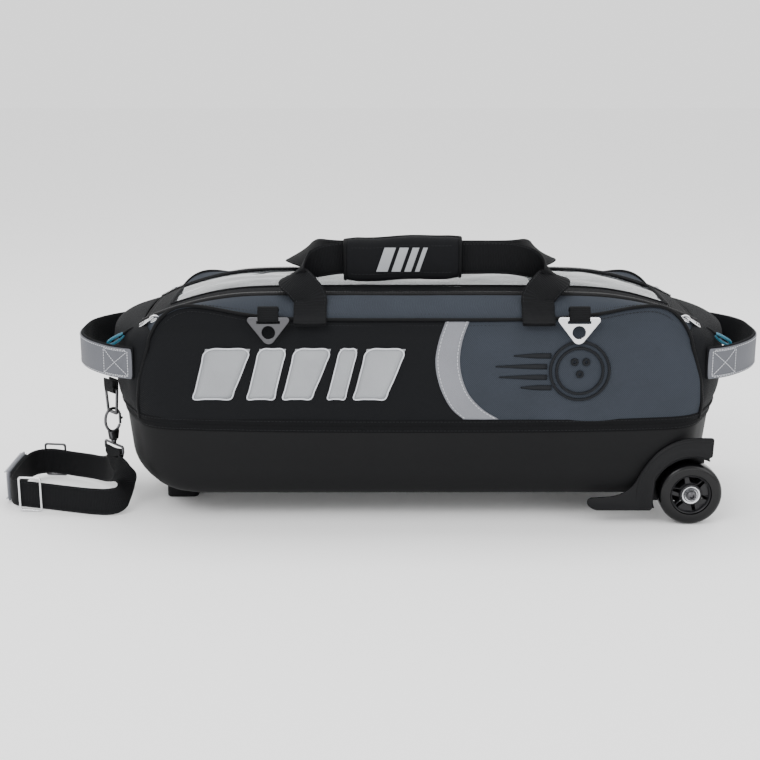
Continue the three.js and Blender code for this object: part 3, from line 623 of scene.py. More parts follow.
# ---------------------------------------------------------------- shell pieces
def tub():
    rows = []
    ws = np.concatenate([np.linspace(-2 * QUARTER, 2 * QUARTER, 241)[:-1]])
    def ring(z, lengthwise, crosswise):
        x, y = outline_at(ws)
        sx, sy = (HALF_LENGTH - lengthwise) / HALF_LENGTH, (HALF_WIDTH - crosswise) / HALF_WIDTH
        return np.stack([np.sign(ws + 1e-9) * x * sx, y * sy, np.full_like(x, z)], axis=1)
    for thick in (0.0, 3.5):
        part = []
        for a in np.linspace(0.12, 1, 9) * math.pi / 2:
            round_ = 1 - math.sin(a)
            z = TUB_BOTTOM + TUB_ROUND * (1 - math.cos(a))
            dx = 26 - 11 * (z - TUB_BOTTOM) / (SEAM - TUB_BOTTOM)
            part.append(ring(z + thick * round_, dx + TUB_ROUND * round_ + thick, 4 + 18 * round_ + thick))
        for z in np.linspace(88, SEAM + (0 if thick == 0 else 2), 7):
            dx = 26 - 11 * (z - TUB_BOTTOM) / (SEAM - TUB_BOTTOM)
            part.append(ring(z, dx + thick,
                             4 * (1 - (z - 80) / 57) - 0.8 * math.sin(math.pi * (z - 80) / 57) + thick))
        rows += part if thick == 0 else part[::-1]
    grid = np.array(rows) * MM
    n = grid.shape[1]
    faces = grid_faces(len(rows), n, True)
    faces += [tuple(range(n))[::-1], tuple((len(rows) - 1) * n + k for k in range(n))]
    obj = piece("tub_shell", grid.reshape(-1, 3), faces, "tub", "root")
    weld(obj)
    crease(obj, 0.5 * MM, 6.0)
    for side in (-1, 1):
        bpy.ops.mesh.primitive_cylinder_add(vertices=96, radius=0.0522, depth=0.05,
                                            location=(0.36, side * 0.1256, 0.042),
                                            rotation=(math.pi / 2, 0, 0))
        cutter = bpy.context.object
        apply(obj, "BOOLEAN", object=cutter, operation="DIFFERENCE", solver="EXACT")
        baked(obj)
        bpy.data.objects.remove(cutter)
    obj.data.set_sharp_from_angle(angle=math.radians(42))
    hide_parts("lower_tub")


def side_seam(z):
    """Distance round the outline to the piped side seam at a height."""
    f = np.clip((SHOULDER - z) / (SHOULDER - SEAM - 6), 0, 1)
    return SEAM_TOP_W + (SEAM_LOW_W - SEAM_TOP_W) * (1 - (1 - f) ** 0.8)


def side_stretch(f):
    """How much wider the face is drawn at its side so that it meets the piping."""
    z = SEAM + 0.5 + (SHOULDER - SEAM - 0.5) * f
    seam_x = wall_point(np.array([side_seam(z)]), np.array([z]))[0][0]
    low_x = wall_point(np.array([SEAM_LOW_W]), np.array([SEAM + 0.5]))[0][0]
    return (seam_x + 1.5) / (low_x + (352 - low_x) * f ** 0.8) - 1


def front_panel(rear):
    """The large face: rows from the tub's seam to the piped edge."""
    cols, rows = 120, 22
    top = EDGE[np.linspace(0, len(EDGE) - 1, cols).astype(int)]
    points = np.zeros((rows, cols, 3))
    stretch = [side_stretch(r / (rows - 1)) for r in range(rows)]
    for c in range(cols):
        tx, ty, tz = top[c]
        share = (c / (cols - 1)) * 2 - 1
        low_w = share * SEAM_LOW_W
        bottom = wall_point(np.array([low_w]), np.array([SEAM + 0.5]), math.copysign(1, share))[0]
        for r in range(rows):
            f = r / (rows - 1)
            z = SEAM + 0.5 + (tz - SEAM - 0.5) * f
            x = (bottom[0] + (tx - bottom[0]) * f ** 0.8) * (1 + stretch[r] * abs(share) ** 6)
            w = np.interp(min(abs(x) * HALF_LENGTH / (HALF_LENGTH - wall_inset(z)[0]), 386), OUTLINE[:89, 0],
                          ALONG[:89])
            y = float(wall_point(np.array([w]), np.array([z]))[0][1])
            blend = max(0.0, (f - 0.72) / 0.28) ** 2
            points[r, c] = (x, y * (1 - blend) + ty * blend, z)
    puff = np.sin(np.linspace(0, math.pi, rows))[:, None] * np.ones(cols)[None, :]
    points[..., 1] -= 2.2 * puff
    obj = cloth_panel("rear_face" if rear else "front_face", mirrored(points, rear) * MM, 3 * MM,
                      "face_cloth", "root", wrinkle=1.5 * MM, flip=rear)
    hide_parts("rear_panel" if rear else "front_panel")
    return np.array([v.co for v in obj.data.vertices]).reshape(rows, cols, 3) / MM


def gusset(rear):
    """The strip between the piping and the zip."""
    rows = 9
    inner = ZIP + np.array([0, -4.2, -0.4])
    fullness = np.clip((325 - np.abs(ZIP[:, :1])) / 70, -0.35, 1)
    points = np.array([EDGE * (1 - f) + inner * f + np.array([0, -1.6,
                                                              2.8]) * fullness * math.sin(math.pi * f)
                       for f in np.linspace(0, 1, rows)])
    obj = cloth_panel("rear_gusset_cloth" if rear else "front_gusset_cloth", mirrored(points, rear) * MM,
                      2.5 * MM,
                      "grey_cloth", "root", wrinkle=1.1 * MM, flip=rear)
    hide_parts("rear_gusset" if rear else "front_gusset")


def end_panel(side):
    """The bowed end with its shoulder, from one front seam round to the other."""
    cols, rows, over = 61, 16, 9
    points = np.zeros((rows + over, cols, 3))
    for c in range(cols):
        share = c / (cols - 1)
        for r in range(rows):
            f = r / (rows - 1)
            z = SEAM + 0.5 + (SHOULDER - SEAM - 0.5) * f
            start = float(side_seam(z)) - 3
            w = start + (2 * QUARTER - 2 * start) * share
            points[r, c] = wall_point(np.array([w]), np.array([z]), side)[0]
        base = points[rows - 1, c]
        y = -LID_END_Y + 2 * LID_END_Y * share
        target = np.array([side * LID_END, y, 266 + 4 * (1 - (y / LID_END_Y) ** 2)])
        control = np.array([base[0] - side * 3, base[1] * 0.98, 264.0])
        for k in range(over):
            t = (k + 1) / over
            points[rows + k, c] = (1 - t) ** 2 * base + 2 * t * (1 - t) * control + t * t * target
    name = "left_end_cloth" if side < 0 else "right_end_cloth"
    obj = cloth_panel(name, points * MM, 3 * MM, "black_cloth", "root", wrinkle=1.6 * MM, flip=side < 0)
    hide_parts("left_end_panel" if side < 0 else "right_end_panel")


def seam_band():
    """The taped seam between the tub and the upper, with two rows of stitching."""
    ws = np.linspace(-2 * QUARTER, 2 * QUARTER, 361)[:-1]
    x, y = outline_at(ws)
    sign = np.sign(ws + 1e-9)
    def ring(dz, out):
        z = SEAM + dz + 7 * np.minimum(1, np.abs(x) / 400) ** 3
        dx, dy = wall_inset(z)
        return np.stack([sign * x * (HALF_LENGTH - dx + out) / HALF_LENGTH,
                         y * (HALF_WIDTH - dy + out) / HALF_WIDTH, z], 1)
    profile = [(-10, -1.0), (-9.2, 1.0), (-5, 1.5), (-1, 1.3), (0, 0.6), (1, 1.3), (4.5, 1.5), (8.2, 1.0),
               (9, -1.0)]
    grid = np.array([ring(dz, out) for dz, out in profile]) * MM
    piece("seam_tape", grid.reshape(-1, 3), grid_faces(len(profile), grid.shape[1], True), "seam_band",
          "root")
    for dz in (-6.5, 5.8):
        path = ring(dz, 1.6) * MM
        normal = np.stack([sign * np.abs(x) ** 3 / 4e7, np.sign(y) * 1.0 * (np.abs(y) / HALF_WIDTH), 0 * x],
                          1)
        stitches("seam_thread", path, normal, "thread", "root")


def pipings(rear):
    """Piping along the top of the panel and down both its sides."""
    down = []
    for f in np.linspace(0, 1, 24)[1:]:
        z = SHOULDER + (SEAM + 6 - SHOULDER) * f
        down.append(wall_point(np.array([side_seam(z)]), np.array([z]))[0] + np.array([0.8, -1.2, 0]))
    down = np.array(down)
    left = down[::-1] * np.array([-1, 1, 1])
    path = np.vstack([left, EDGE + np.array([0, -0.9, 1.0]), down])
    path = mirrored(smooth_path(path[::2], 220), rear) * MM
    obj = rod("rear_piped_edge" if rear else "front_piped_edge", path, 2.3 * MM, "piping", "root", sides=10)
    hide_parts("rear_piping" if rear else "front_piping")
    for way, run in ((1, down), (-1, left)):
        behind = mirrored(run + np.array([-4.5 * way, 4.5, 0]), rear) * MM
        rod("seam_allowance", smooth_path(behind, 40), 4.2 * MM, "piping", "root", sides=8)
    inner = mirrored(EDGE * np.array([0.987, 1, 1]) + np.array([0, -1.6, -6.5]), rear) * MM
    normal = np.tile([0, 1.0 if rear else -1.0, 0.25], (len(inner), 1))
    stitches("edge_thread", inner, normal, "thread", "root")
    above = mirrored(EDGE * 0.8 + ZIP * 0.2 + np.array([0, -1.2, 1.6]), rear) * MM
    up = np.tile([0, 0.45 if rear else -0.45, 0.9], (len(above), 1))
    stitches("gusset_thread", above, up, "thread", "root")


# ---------------------------------------------------------------- trim and motifs on the faces
def on_face(points, x, z, lift=0.8):
    """The point of the front face at a place along and up, raised a little off the cloth."""
    rows, cols, _ = points.shape
    xs = points[:, :, 0]
    r = np.clip(np.searchsorted(points[:, cols // 2, 2], z) / 1.0, 1, rows - 1)
    column = np.array([np.interp(x, xs[k], np.arange(cols)) for k in range(rows)])
    zs = np.array([np.interp(column[k], np.arange(cols), points[k, :, 2]) for k in range(rows)])
    ys = np.array([np.interp(column[k], np.arange(cols), points[k, :, 1]) for k in range(rows)])
    return float(np.interp(z, zs, ys)) - lift


def patch(name, face, rail_a, rail_b, mat, rear=False, lift=0.9, thick=0.9, steps=(24, 8),
          border=None):
    """A cloth shape laid on the face between two rails of (x, z) points in millimetres."""
    a, b = smooth_path(rail_a, steps[0]), smooth_path(rail_b, steps[0])
    grid = np.zeros((steps[0], steps[1], 3))
    for i in range(steps[0]):
        for j in range(steps[1]):
            x, z = a[i] + (b[i] - a[i]) * j / (steps[1] - 1)
            crown = 0.5 * math.sin(math.pi * j / (steps[1] - 1)) if steps[1] > 3 else 0
            grid[i, j] = (x, on_face(face, x, z, lift + crown), z)
    obj = piece(name, (mirrored(grid, rear) * MM).reshape(-1, 3), grid_faces(*steps), mat, "root")
    weld(obj)
    if obj.data.polygons[0].normal.y * (1 if rear else -1) < 0:
        obj.data.flip_normals()
    apply(obj, "SOLIDIFY", thickness=thick * MM, offset=-1.0)
    if border:
        rim = np.vstack([grid[:, 0], grid[-1, 1:], grid[::-1, -1][1:], grid[0, ::-1][1:-1]])
        rim = mirrored(rim + np.array([0, -0.25, 0]), rear) * MM
        rod(f"{name}_satin_edge", smooth_path(rim[::2], 110, True), 1.05 * MM, border, "root",
            closed=True, sides=8)
    return obj


def crescent(face):
    """The silver strip between the black and the grey cloth, curved like a ball's edge."""
    left = [(33, 276), (24, 252), (19.5, 228), (22, 204), (30, 180), (42, 160), (57, 146.5)]
    right = [(64, 276.5), (54.5, 252), (51, 228), (54, 204), (64, 180), (82, 160), (103, 146.5)]
    patch("silver_crescent", face, left, right, "silver_cloth", thick=1.1, steps=(36, 8))
    for rail, shift in ((left, 3.2), (right, -3.2)):
        path = [(x + shift, on_face(face, x + shift, z, 1.6), z) for x, z in smooth_path(rail, 60)]
        stitches("crescent_thread", np.array(path) * MM, np.tile([0, -1, 0], (60, 1)), "silver_thread",
                 "root")


def slanted_bars(face):
    """A row of raised slanted bars, each with a satin-stitched edge."""
    low, high, lean = 175, 241, 17
    widths = [58, 34, 46, 22, 50]
    x = -294
    for i, width in enumerate(widths):
        cut = 10 if i % 2 == 0 else 0
        left = [(x, low), (x + lean * 0.5, (low + high) / 2), (x + lean, high)]
        right = [(x + width - cut, low), (x + width + lean * 0.5 - cut * 0.4, (low + high) / 2),
                 (x + width + lean, high)]
        patch(f"silver_bar_{i + 1}", face, left, right, "stitched", thick=1.5, steps=(12, 7),
              border="silver_thread")
        x += width + 12


def ball_mark(face):
    """A plain ball outline with three finger holes over two speed lines, in dark thread."""
    cx, cz, r = 206, 212, 38
    for radius, name in ((r, "outer"), (r - 8, "inner")):
        ring = [(cx + radius * math.cos(t), cz + radius * math.sin(t)) for t in np.linspace(0, 2 * math.pi,
                60)[:-1]]
        path = np.array([(x, on_face(face, x, z, 1.2), z) for x, z in ring]) * MM
        rod(f"ball_mark_{name}", path, 1.9 * MM, "dark_stitch", "root", closed=True, sides=8)
    for hx, hz in ((-7, 12), (8, 12), (0, -4)):
        hole = [(cx + hx + 3.4 * math.cos(t), cz + hz + 3.4 * math.sin(t)) for t in np.linspace(0,
                2 * math.pi, 20)[:-1]]
        path = np.array([(x, on_face(face, x, z, 1.2), z) for x, z in hole]) * MM
        rod("ball_mark_hole", path, 1.7 * MM, "dark_stitch", "root", closed=True, sides=8)
    for i, (z, reach) in enumerate(((232, 70), (218, 88), (204, 84), (190, 62))):
        start = cx - math.sqrt(max(0, r * r - (z - cz) ** 2)) - 5
        low = [(start - reach + 22, z - 0.8), (start - 20, z - 3.2), (start, z - 3.4)]
        high = [(start - reach + 22, z + 0.8), (start - 20, z + 3.2), (start, z + 3.4)]
        patch(f"speed_line_{i + 1}", face, low, high, "dark_stitch", thick=1.2, steps=(14, 4))


# ---------------------------------------------------------------- zips and lid
def zip_chain(rear):
    """Tape and interlocked coil along the lid's edge."""
    line = mirrored(ZIP + np.array([0, 0, 0.4]), rear)
    tangent = np.gradient(line, axis=0)
    tangent /= np.linalg.norm(tangent, axis=1)[:, None]
    up = np.tile([0, 0.38 if rear else -0.38, 0.925], (len(line), 1))
    across = np.cross(tangent, up)
    across /= np.linalg.norm(across, axis=1)[:, None]
    up = np.cross(across, tangent)
    grid = np.array([line + across * a + up * b for a,
                     b in ((-5.4, -1.6), (-5, 0.1), (-2.4, 0.5), (2.4, 0.5), (5, 0.1),
                                                             (5.4, -1.6))]) * MM
    tape = piece("zip_tape", grid.reshape(-1, 3), grid_faces(*grid.shape[:2]), "zip_tape", "root")
    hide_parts("rear_zip_chain" if rear else "front_zip_chain")
    along = np.concatenate([[0], np.cumsum(np.linalg.norm(np.diff(line, axis=0), axis=1))])
    pitch = 2.1
    count = int(along[-1] / pitch)
    verts, faces = [], []
    for i in range(count):
        s = (i + 0.5) * pitch
        p, t, a, u = (np.array([np.interp(s, along, v[:, k]) for k in range(3)]) for v in (line, tangent,
                across, up))
        base = len(verts)
        shape = [(-2.7, 0.5, 0.0), (-2.3, 1.7, 0.1), (0, 2.1, 0.25), (2.3, 1.7, 0.4), (2.7, 0.5, 0.5)]
        for x, z, shift in shape:
            for dt, dz in ((-0.62, 0), (0, 0.5), (0.62, 0)):
                verts.append((p + a * x + u * (z + dz) + t * (dt + shift)) * MM)
        faces += [(base + r * 3 + c, base + r * 3 + c + 1, base + r * 3 + c + 4, base + r * 3 + c + 3)
                  for r in range(4) for c in range(2)]
    piece("zip_coil", verts, faces, "zip_coil", "root")


def lid_grid(x0, x1, share, cols, rows, lift=0.0):
    """The crowned lid between the two zip lines; share is the part of its width that is covered."""
    points = np.zeros((rows, cols, 3))
    for c, x in enumerate(np.linspace(x0, x1, cols)):
        y_edge = -float(np.interp(x, ZIP[:, 0], ZIP[:, 1])) - 5.0
        z_edge = float(np.interp(x, ZIP[:, 0], ZIP[:, 2]))
        crown = 9.5 * (1 - (abs(x) / 400) ** 3)
        for r in range(rows):
            v = (r / (rows - 1) * 2 - 1) * share
            points[r, c] = (x, v * y_edge, z_edge + crown * (1 - v * v) + lift)
    return points


def lid():
    """A cloth border round a long clear window, with binding, stitching and soft ripples."""
    window_share, window_x = 0.72, 330.0
    outer = lid_grid(-LID_END + 2, LID_END - 2, 1.0, 121, 33)
    def keep(p):
        return abs(p[0]) > window_x or abs(p[1]) > window_share * 88
    verts, faces = outer.reshape(-1, 3), []
    for f in grid_faces(33, 121):
        middle = verts[list(f)].mean(axis=0)
        y_edge = -float(np.interp(middle[0], ZIP[:, 0], ZIP[:, 1])) - 5.0
        if abs(middle[0]) > window_x or abs(middle[1]) > window_share * y_edge:
            faces.append(f)
    border = piece("lid_border", verts * MM, faces, "lid_binding", "lid")
    import bmesh
    bm = bmesh.new()
    bm.from_mesh(border.data)
    bmesh.ops.delete(bm, geom=[v for v in bm.verts if not v.link_faces], context="VERTS")
    bm.to_mesh(border.data)
    bm.free()
    apply(border, "SOLIDIFY", thickness=2 * MM, offset=-1.0)
    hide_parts("lid_frame")
    sheet = lid_grid(-window_x - 4, window_x + 4, window_share + 0.03, 141, 25, lift=-0.4)
    for p in sheet.reshape(-1, 3):
        q = Vector((p[0] * 0.011, p[1] * 0.02, 3.3))
        p[2] += 1.6 * noise.noise(q) + 0.7 * noise.noise(q * 2.7) - 0.6
    window = piece("vinyl_window", sheet.reshape(-1, 3) * MM, grid_faces(25, 141), "clear_vinyl", "lid")
    apply(window, "SOLIDIFY", thickness=0.6 * MM, offset=-1.0)
    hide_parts("lid_window")
    def rim(share, x_end, lift):
        path = []
        n = 90
        for x in np.linspace(-x_end, x_end, n):
            path.append((x, -1))
        for v in np.linspace(-1, 1, 20)[1:-1]:
            path.append((x_end, v))
        for x in np.linspace(x_end, -x_end, n):
            path.append((x, 1))
        for v in np.linspace(1, -1, 20)[1:-1]:
            path.append((-x_end, v))
        out = []
        for x, v in path:
            y_edge = -float(np.interp(x, ZIP[:, 0], ZIP[:, 1])) - 5.0
            z_edge = float(np.interp(x, ZIP[:, 0], ZIP[:, 2]))
            crown = 9.5 * (1 - (abs(x) / 400) ** 3)
            out.append((x, v * share * y_edge, z_edge + crown * (1 - (v * share) ** 2) + lift))
        return np.array(out) * MM
    rod("window_binding", rim(window_share, window_x, 0.3), 1.6 * MM, "lid_binding", "lid", closed=True,
        sides=8)
    rod("lid_edge_cord", rim(1.0, LID_END - 4, -0.4), 1.5 * MM, "piping", "lid", closed=True,
        sides=8)
    up = np.array([0, 0, 1.0])
    for share, x_end in ((window_share + 0.05, window_x + 5), (0.94, LID_END - 9)):
        path = rim(share, x_end, 0.15)
        stitches("lid_thread", path, np.tile(up, (len(path), 1)), "thread", "lid")


# ---------------------------------------------------------------- webbing helpers
def strap_lines(stops, steps, offset=0.0):
    """Centre line, width direction and normal of a strip of webbing, in metres."""
    joined = smooth_path([list(p) + list(np.array(w, float) * 40) for p, w in stops], steps)
    centre, wide = joined[:, :3] * MM, joined[:, 3:]
    tangent = np.gradient(centre, axis=0)
    tangent /= np.linalg.norm(tangent, axis=1)[:, None]
    wide = wide - tangent * (wide * tangent).sum(1)[:, None]
    wide /= np.linalg.norm(wide, axis=1)[:, None]
    normal = np.cross(tangent, wide)
    return centre + normal * offset * MM, wide, normal


def on_strap(lines, share, across, lift):
    """Points on a strip: share along it, and across and lift in millimetres."""
    at = np.asarray(share, float) * (len(lines[0]) - 1)
    centre, wide, normal = (np.stack([np.interp(at, np.arange(len(v)), v[:, k]) for k in range(3)],
                                     1) for v in lines)
    return centre + wide * np.asarray(across, float)[:, None] * MM + normal * lift * MM, normal


def strap_rows(name, lines, offsets, lift, mat, body, start=0.0, end=1.0):
    """Rows of stitching that run along a strip near its edges."""
    share = np.linspace(start, end, 90)
    for across in offsets:
        points, normal = on_strap(lines, share, np.full(90, across), lift)
        stitches(name, points, normal * math.copysign(1, lift), mat, body)


def box_stitch(name, lines, start, end, half, lift, mat, body):
    """A sewn rectangle with a cross in it, near a strip's end."""
    corners = [(start, -half), (end, -half), (end, half), (start, half)]
    runs = [(corners[i], corners[(i + 1) % 4]) for i in range(4)] + [(corners[0], corners[2]),
            (corners[1], corners[3])]
    for (s0, a0), (s1, a1) in runs:
        points, normal = on_strap(lines, np.linspace(s0, s1, 16), np.linspace(a0, a1, 16), lift)
        stitches(name, points, normal * math.copysign(1, lift), mat, body, length=2.6, gap=1.0)


def pad(name, stops, width, thick, mat, body, steps=60, wrinkle=0.5):
    """A stuffed strip with a rounded section and gathered cloth."""
    centre, wide, normal = strap_lines(stops, steps)
    verts, sides = [], 22
    for i in range(steps):
        end = min(1.0, 0.55 + 0.45 * math.sin(math.pi * min(i, steps - 1 - i) / 7) if min(i,
                steps - 1 - i) < 4 else 1.0)
        for k in range(sides):
            a = 2 * math.pi * k / sides
            c, s = math.cos(a), math.sin(a)
            w = math.copysign(abs(c) ** 0.35, c) * width / 2
            t = math.copysign(abs(s) ** 0.75, s) * thick / 2 * end
            verts.append(centre[i] + wide[i] * w * MM + normal[i] * t * MM)
    faces = grid_faces(steps, sides, True)
    faces += [tuple(range(sides))[::-1], tuple((steps - 1) * sides + k for k in range(sides))]
    obj = piece(name, verts, faces, mat, body)
    crease(obj, wrinkle * MM, 42.0)
    return obj


def drawn(*parts):
    """An outline in millimetres: pairs are corners, and four numbers are a control point and an end."""
    points = []
    for p in parts:
        if len(p) == 2:
            points.append(tuple(p))
        else:
            points += [tuple(q) for q in bezier(points[-1], p[:2], p[2:], 7)[1:]]
    return points


def upright_plate(name, outline, thick, mat, body, place, holes=(), bevel=0.4):
    """A plate drawn in X and Z that stands across Y."""
    return plate(name, outline, thick, mat, body, axes(place, (1, 0, 0), (0, 0, 1), (0, -1, 0)), holes,
                 bevel)


# ---------------------------------------------------------------- tow strap and its hook
TOW = Vector((-0.417, -0.057, 0.166))
TOW_X, TOW_Y, UP = (0.669, -0.743, 0.0), (0.743, 0.669, 0.0), (0.0, 0.0, 1.0)
STRAP_ROUTE = [
    ((-416.8, -60.8, 71.5), (0.67, -0.74, 0)), ((-416, -61.6, 66), (0.67, -0.74, 0)),
    ((-408, -70, 56), (0.6, -0.65, -0.4)), ((-400, -84, 38), (0.35, -0.35, -0.85)),
    ((-402, -98, 26), (0, 0, -1)),
    ((-416, -104, 21), (0, 0, -1)), ((-440, -101, 20), (0, 0, -1)), ((-470, -94, 20.5), (0, 0, -1)),
    ((-500, -88, 22), (0, 0, -1)), ((-529, -84, 24), (0, 0, -1)), ((-550, -78, 24.5), (0, 0, -1)),
    ((-561, -62, 24.5), (0, 0, -1)), ((-563, -30, 24.5), (0, 0, -1)), ((-563, 10, 24.5), (0, 0, -1)),
    ((-560, 42, 24.5), (0, 0, -1)), ((-549, 58, 24.5), (0, 0, -1)), ((-529, 62, 24), (0, 0, -1)),
    ((-500, 52, 23), (0, 0, -1)), ((-470, 34, 25), (0, 0, -1)), ((-445, 8, 30), (0, 0, -1)),
    ((-432, -18, 42), (0.15, -0.15, -1)), ((-425, -38, 56), (0.45, -0.5, -0.6)),
    ((-418.5, -51.5, 66), (0.67, -0.74, 0)),
    ((-417.2, -53.2, 71.5), (0.67, -0.74, 0))]


def in_tow(x, y, z):
    """A point of the tow hardware's own axes, in the row frame, in millimetres."""
    return tuple(1000 * TOW[i] + TOW_X[i] * x + TOW_Y[i] * y + UP[i] * z for i in range(3))


def tow_plate(name, outline, thick, mat, body, z, holes=(), bevel=0.4, along=TOW_X):
    normal = Vector(along).cross(Vector(UP))
    place = TOW + Vector((0, 0, z * MM))
    return plate(name, outline, thick, mat, body, axes(place, along, UP, normal), holes, bevel)


def tow_strap():
    """The towing loop of webbing with its two sliders and its hand grip."""
    obj, centre = strap("tow_webbing", STRAP_ROUTE, 38, 2.4, "webbing", "tow_line", 200)
    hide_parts("tow_strap")
    lines = strap_lines(STRAP_ROUTE, 200)
    for name, y, mat, node_name in (("near", -87.2, "chrome", "strap_slider_near"),
                                    ("far", 65.2, "gunmetal", "strap_slider_far")):
        c, s = math.cos(-0.12), math.sin(-0.12)
        place = axes((-0.529, y * MM, 0.0256), (c, s, 0), (0, 0, 1), (s, -c, 0))
        buckle = plate(f"adjuster_{name}", rounded(33, 49.5, 4), 2.8, mat, "tow_line", place,
                       (rounded(27, 43.5, 2.5),), 1.2)
        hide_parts(node_name)
    stops = [((-568.4, -50, 25), UP), ((-569, -30, 25), UP), ((-569, 10, 25), UP), ((-567.6, 36, 25), UP)]
    grip = pad("grip_sleeve", stops, 44, 7, "silver_cloth", "tow_line")
    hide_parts("strap_grip")
    mesh_side, _ = strap("grip_mesh", [((x + 3.9, y, z), w) for (x, y, z), w in stops], 40, 0.8, "foam",
                         "tow_line",
                         40)
    loop, _ = strap("eye_loop", [((-416.8, -60.8, 71.0), TOW_X), (in_tow(1, -2.9, -88), TOW_X),
                                 (in_tow(0, 0, -83.6), TOW_X), (in_tow(-1, 2.9, -88), TOW_X),
                                 ((-417.2, -53.2, 71.0), TOW_X)], 38, 1.6, "webbing", "tow_line", 26)
    return lines


def tow_details(lines):
    for lift in (1.2, -1.2):
        strap_rows("tow_thread", lines, (-16.5, 16.5), lift, "thread", "tow_line", start=0.02, end=0.98)
    for z in (-19.5, 19.5):
        path = [(-0.5725 + 0.0004 * (i % 2), y * MM, (25 + z) * MM) for i,
                y in enumerate(np.linspace(-49, 35, 20))]
        rod("grip_binding", smooth_path(path, 60), 1.2 * MM, "silver_thread", "tow_line",
            sides=8)


def tow_hardware():
    """Webbing tab, ring, snap hook with its gate, and the swivel eye."""
    tab = [(in_tow(0, y, z), TOW_X) for y,
           z in ((-4, 15), (-4, 6), (-3.3, -2), (0, -4.2), (3.3, -2), (4, 6), (4, 15))]
    loop, _ = strap("tow_tab_webbing", tab, 24, 1.3, "webbing", "root", 40)
    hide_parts("tow_tab")
    ring = tow_plate("tow_bail",
                     [(-15.6, 2), (-16.4, 0), (-12, -33), (-10.5, -34.2), (10.5, -34.2), (12, -33), (16.4, 0),
                                  (15.6, 2)], 3.6, "gunmetal", "tow_link", 0,
                     ([(-12.6, -1.8), (-9, -30), (9, -30), (12.6, -1.8)],), 1.2)
    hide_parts("tow_ring")
    matrix = axes(TOW + Vector((0, 0, -0.0435)), TOW_Y, UP, TOW_X)
    oval = [matrix @ Vector((11.7 * math.cos(a) * MM, 16.2 * math.sin(a) * MM, 0))
            for a in np.radians(np.linspace(30, 330, 60))]
    hook = rod("hook_wire", oval, 1.95 * MM, "gunmetal", "tow_hook", sides=14)
    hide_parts("snap_hook")
    plate("hook_neck", [(-8, -14.6), (8, -14.6), (6.2, -27), (4.5, -28), (-4.5, -28), (-6.2, -27)], 8,
          "gunmetal",
          "tow_hook", matrix, (), 2.4)
    lever = [(9.6, -7.6), (12.6, -7.6), (12.6, -1.5), (15.2, -0.6), (15.2, 1.8), (12.6, 2.4), (12.6, 7.6),
             (9.6, 7.6)]
    gate = plate("spring_gate", lever, 3, "gunmetal", "tow_gate", matrix, (), 0.7)
    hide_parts("hook_gate")
    eye = tow_plate("swivel_bar", rounded(48, 13, 4), 3.4, "gunmetal", "tow_line", -82.5,
                    (rounded(42, 7, 2),), 1.2)
    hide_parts("swivel_eye")
    stud = [matrix.translation + Vector((0, 0, z * MM)) for z in (-33.6, -31, -29, -28)]
    rod("swivel_stud", stud, [3 * MM, 3 * MM, 4.2 * MM, 4.2 * MM], "gunmetal", "tow_line", sides=20)


# ---------------------------------------------------------------- carry handles
# Where the webbing leaves the piped seam, as distance from the middle and height: first the end that is
# caught in the seam, then the end that turns back over the gusset. A handle folds where the two meet.
CAUGHT = ((126, 276.2), (131, 275.4), (135.5, 273.8), (139.0, 271.6))
TURNED = ((140.0, 273.6), (135.6, 277.4), (130.4, 280.2), (126.2, 282.8), (122.8, 286.4), (119.2, 291.0),
          (115.6, 296.4))


def handle_stops(side):
    def y(front, rear):
        return front if side < 0 else rear
    def leg(x, out):
        return [((x, side * across, up), (1, 0, 0)) for across, up in TURNED] + [
                ((x, y(-112.2, 111), 304), (1, 0, 0)),
                ((x + out * 14, y(-106, 92), y(320, 321)), (1, 0, -0.2 * out)),
                ((x + out * 24, y(-93.5, 50), y(329, 334)), (0.9, 0.2 * side, -0.5 * out)),
                ((x + out * 2, y(-70, -6), y(339, 343)), (0.5, 0, -0.9 * out)),
                ((x - out * 34, y(-56, -36), 345), (0, 0, -out))]
    right = [(p, tuple(-c for c in w)) for p, w in leg(152, 1)[::-1]]
    grip = [((x, y(-55, -37), 345), (0, 0, 1)) for x in (-60, 0, 60)]
    return leg(-142, -1) + grip + right


def carry_handle(side):
    """The webbing comes out of the piped seam and turns back over the gusset, so it folds along the seam."""
    body, name = ("front_handle", "front") if side < 0 else ("rear_handle", "rear")
    obj, _ = strap(f"{name}_carry_webbing", handle_stops(side), 43, 2.6, "webbing", body, 210)
    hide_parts(f"{name}_handle_webbing")
    lines = strap_lines(handle_stops(side), 210)
    for lift in (1.4, -1.4):
        strap_rows(f"{name}_handle_thread", lines, (-19, 19), lift, "thread", body, start=0.06, end=0.94)
    for x in (-142, 152):
        sewn_in = [((x, side * across, up), (1, 0, 0)) for across, up in CAUGHT]
        strap(f"{name}_handle_root", sewn_in, 42.5, 1.8, "webbing", "root", 14)


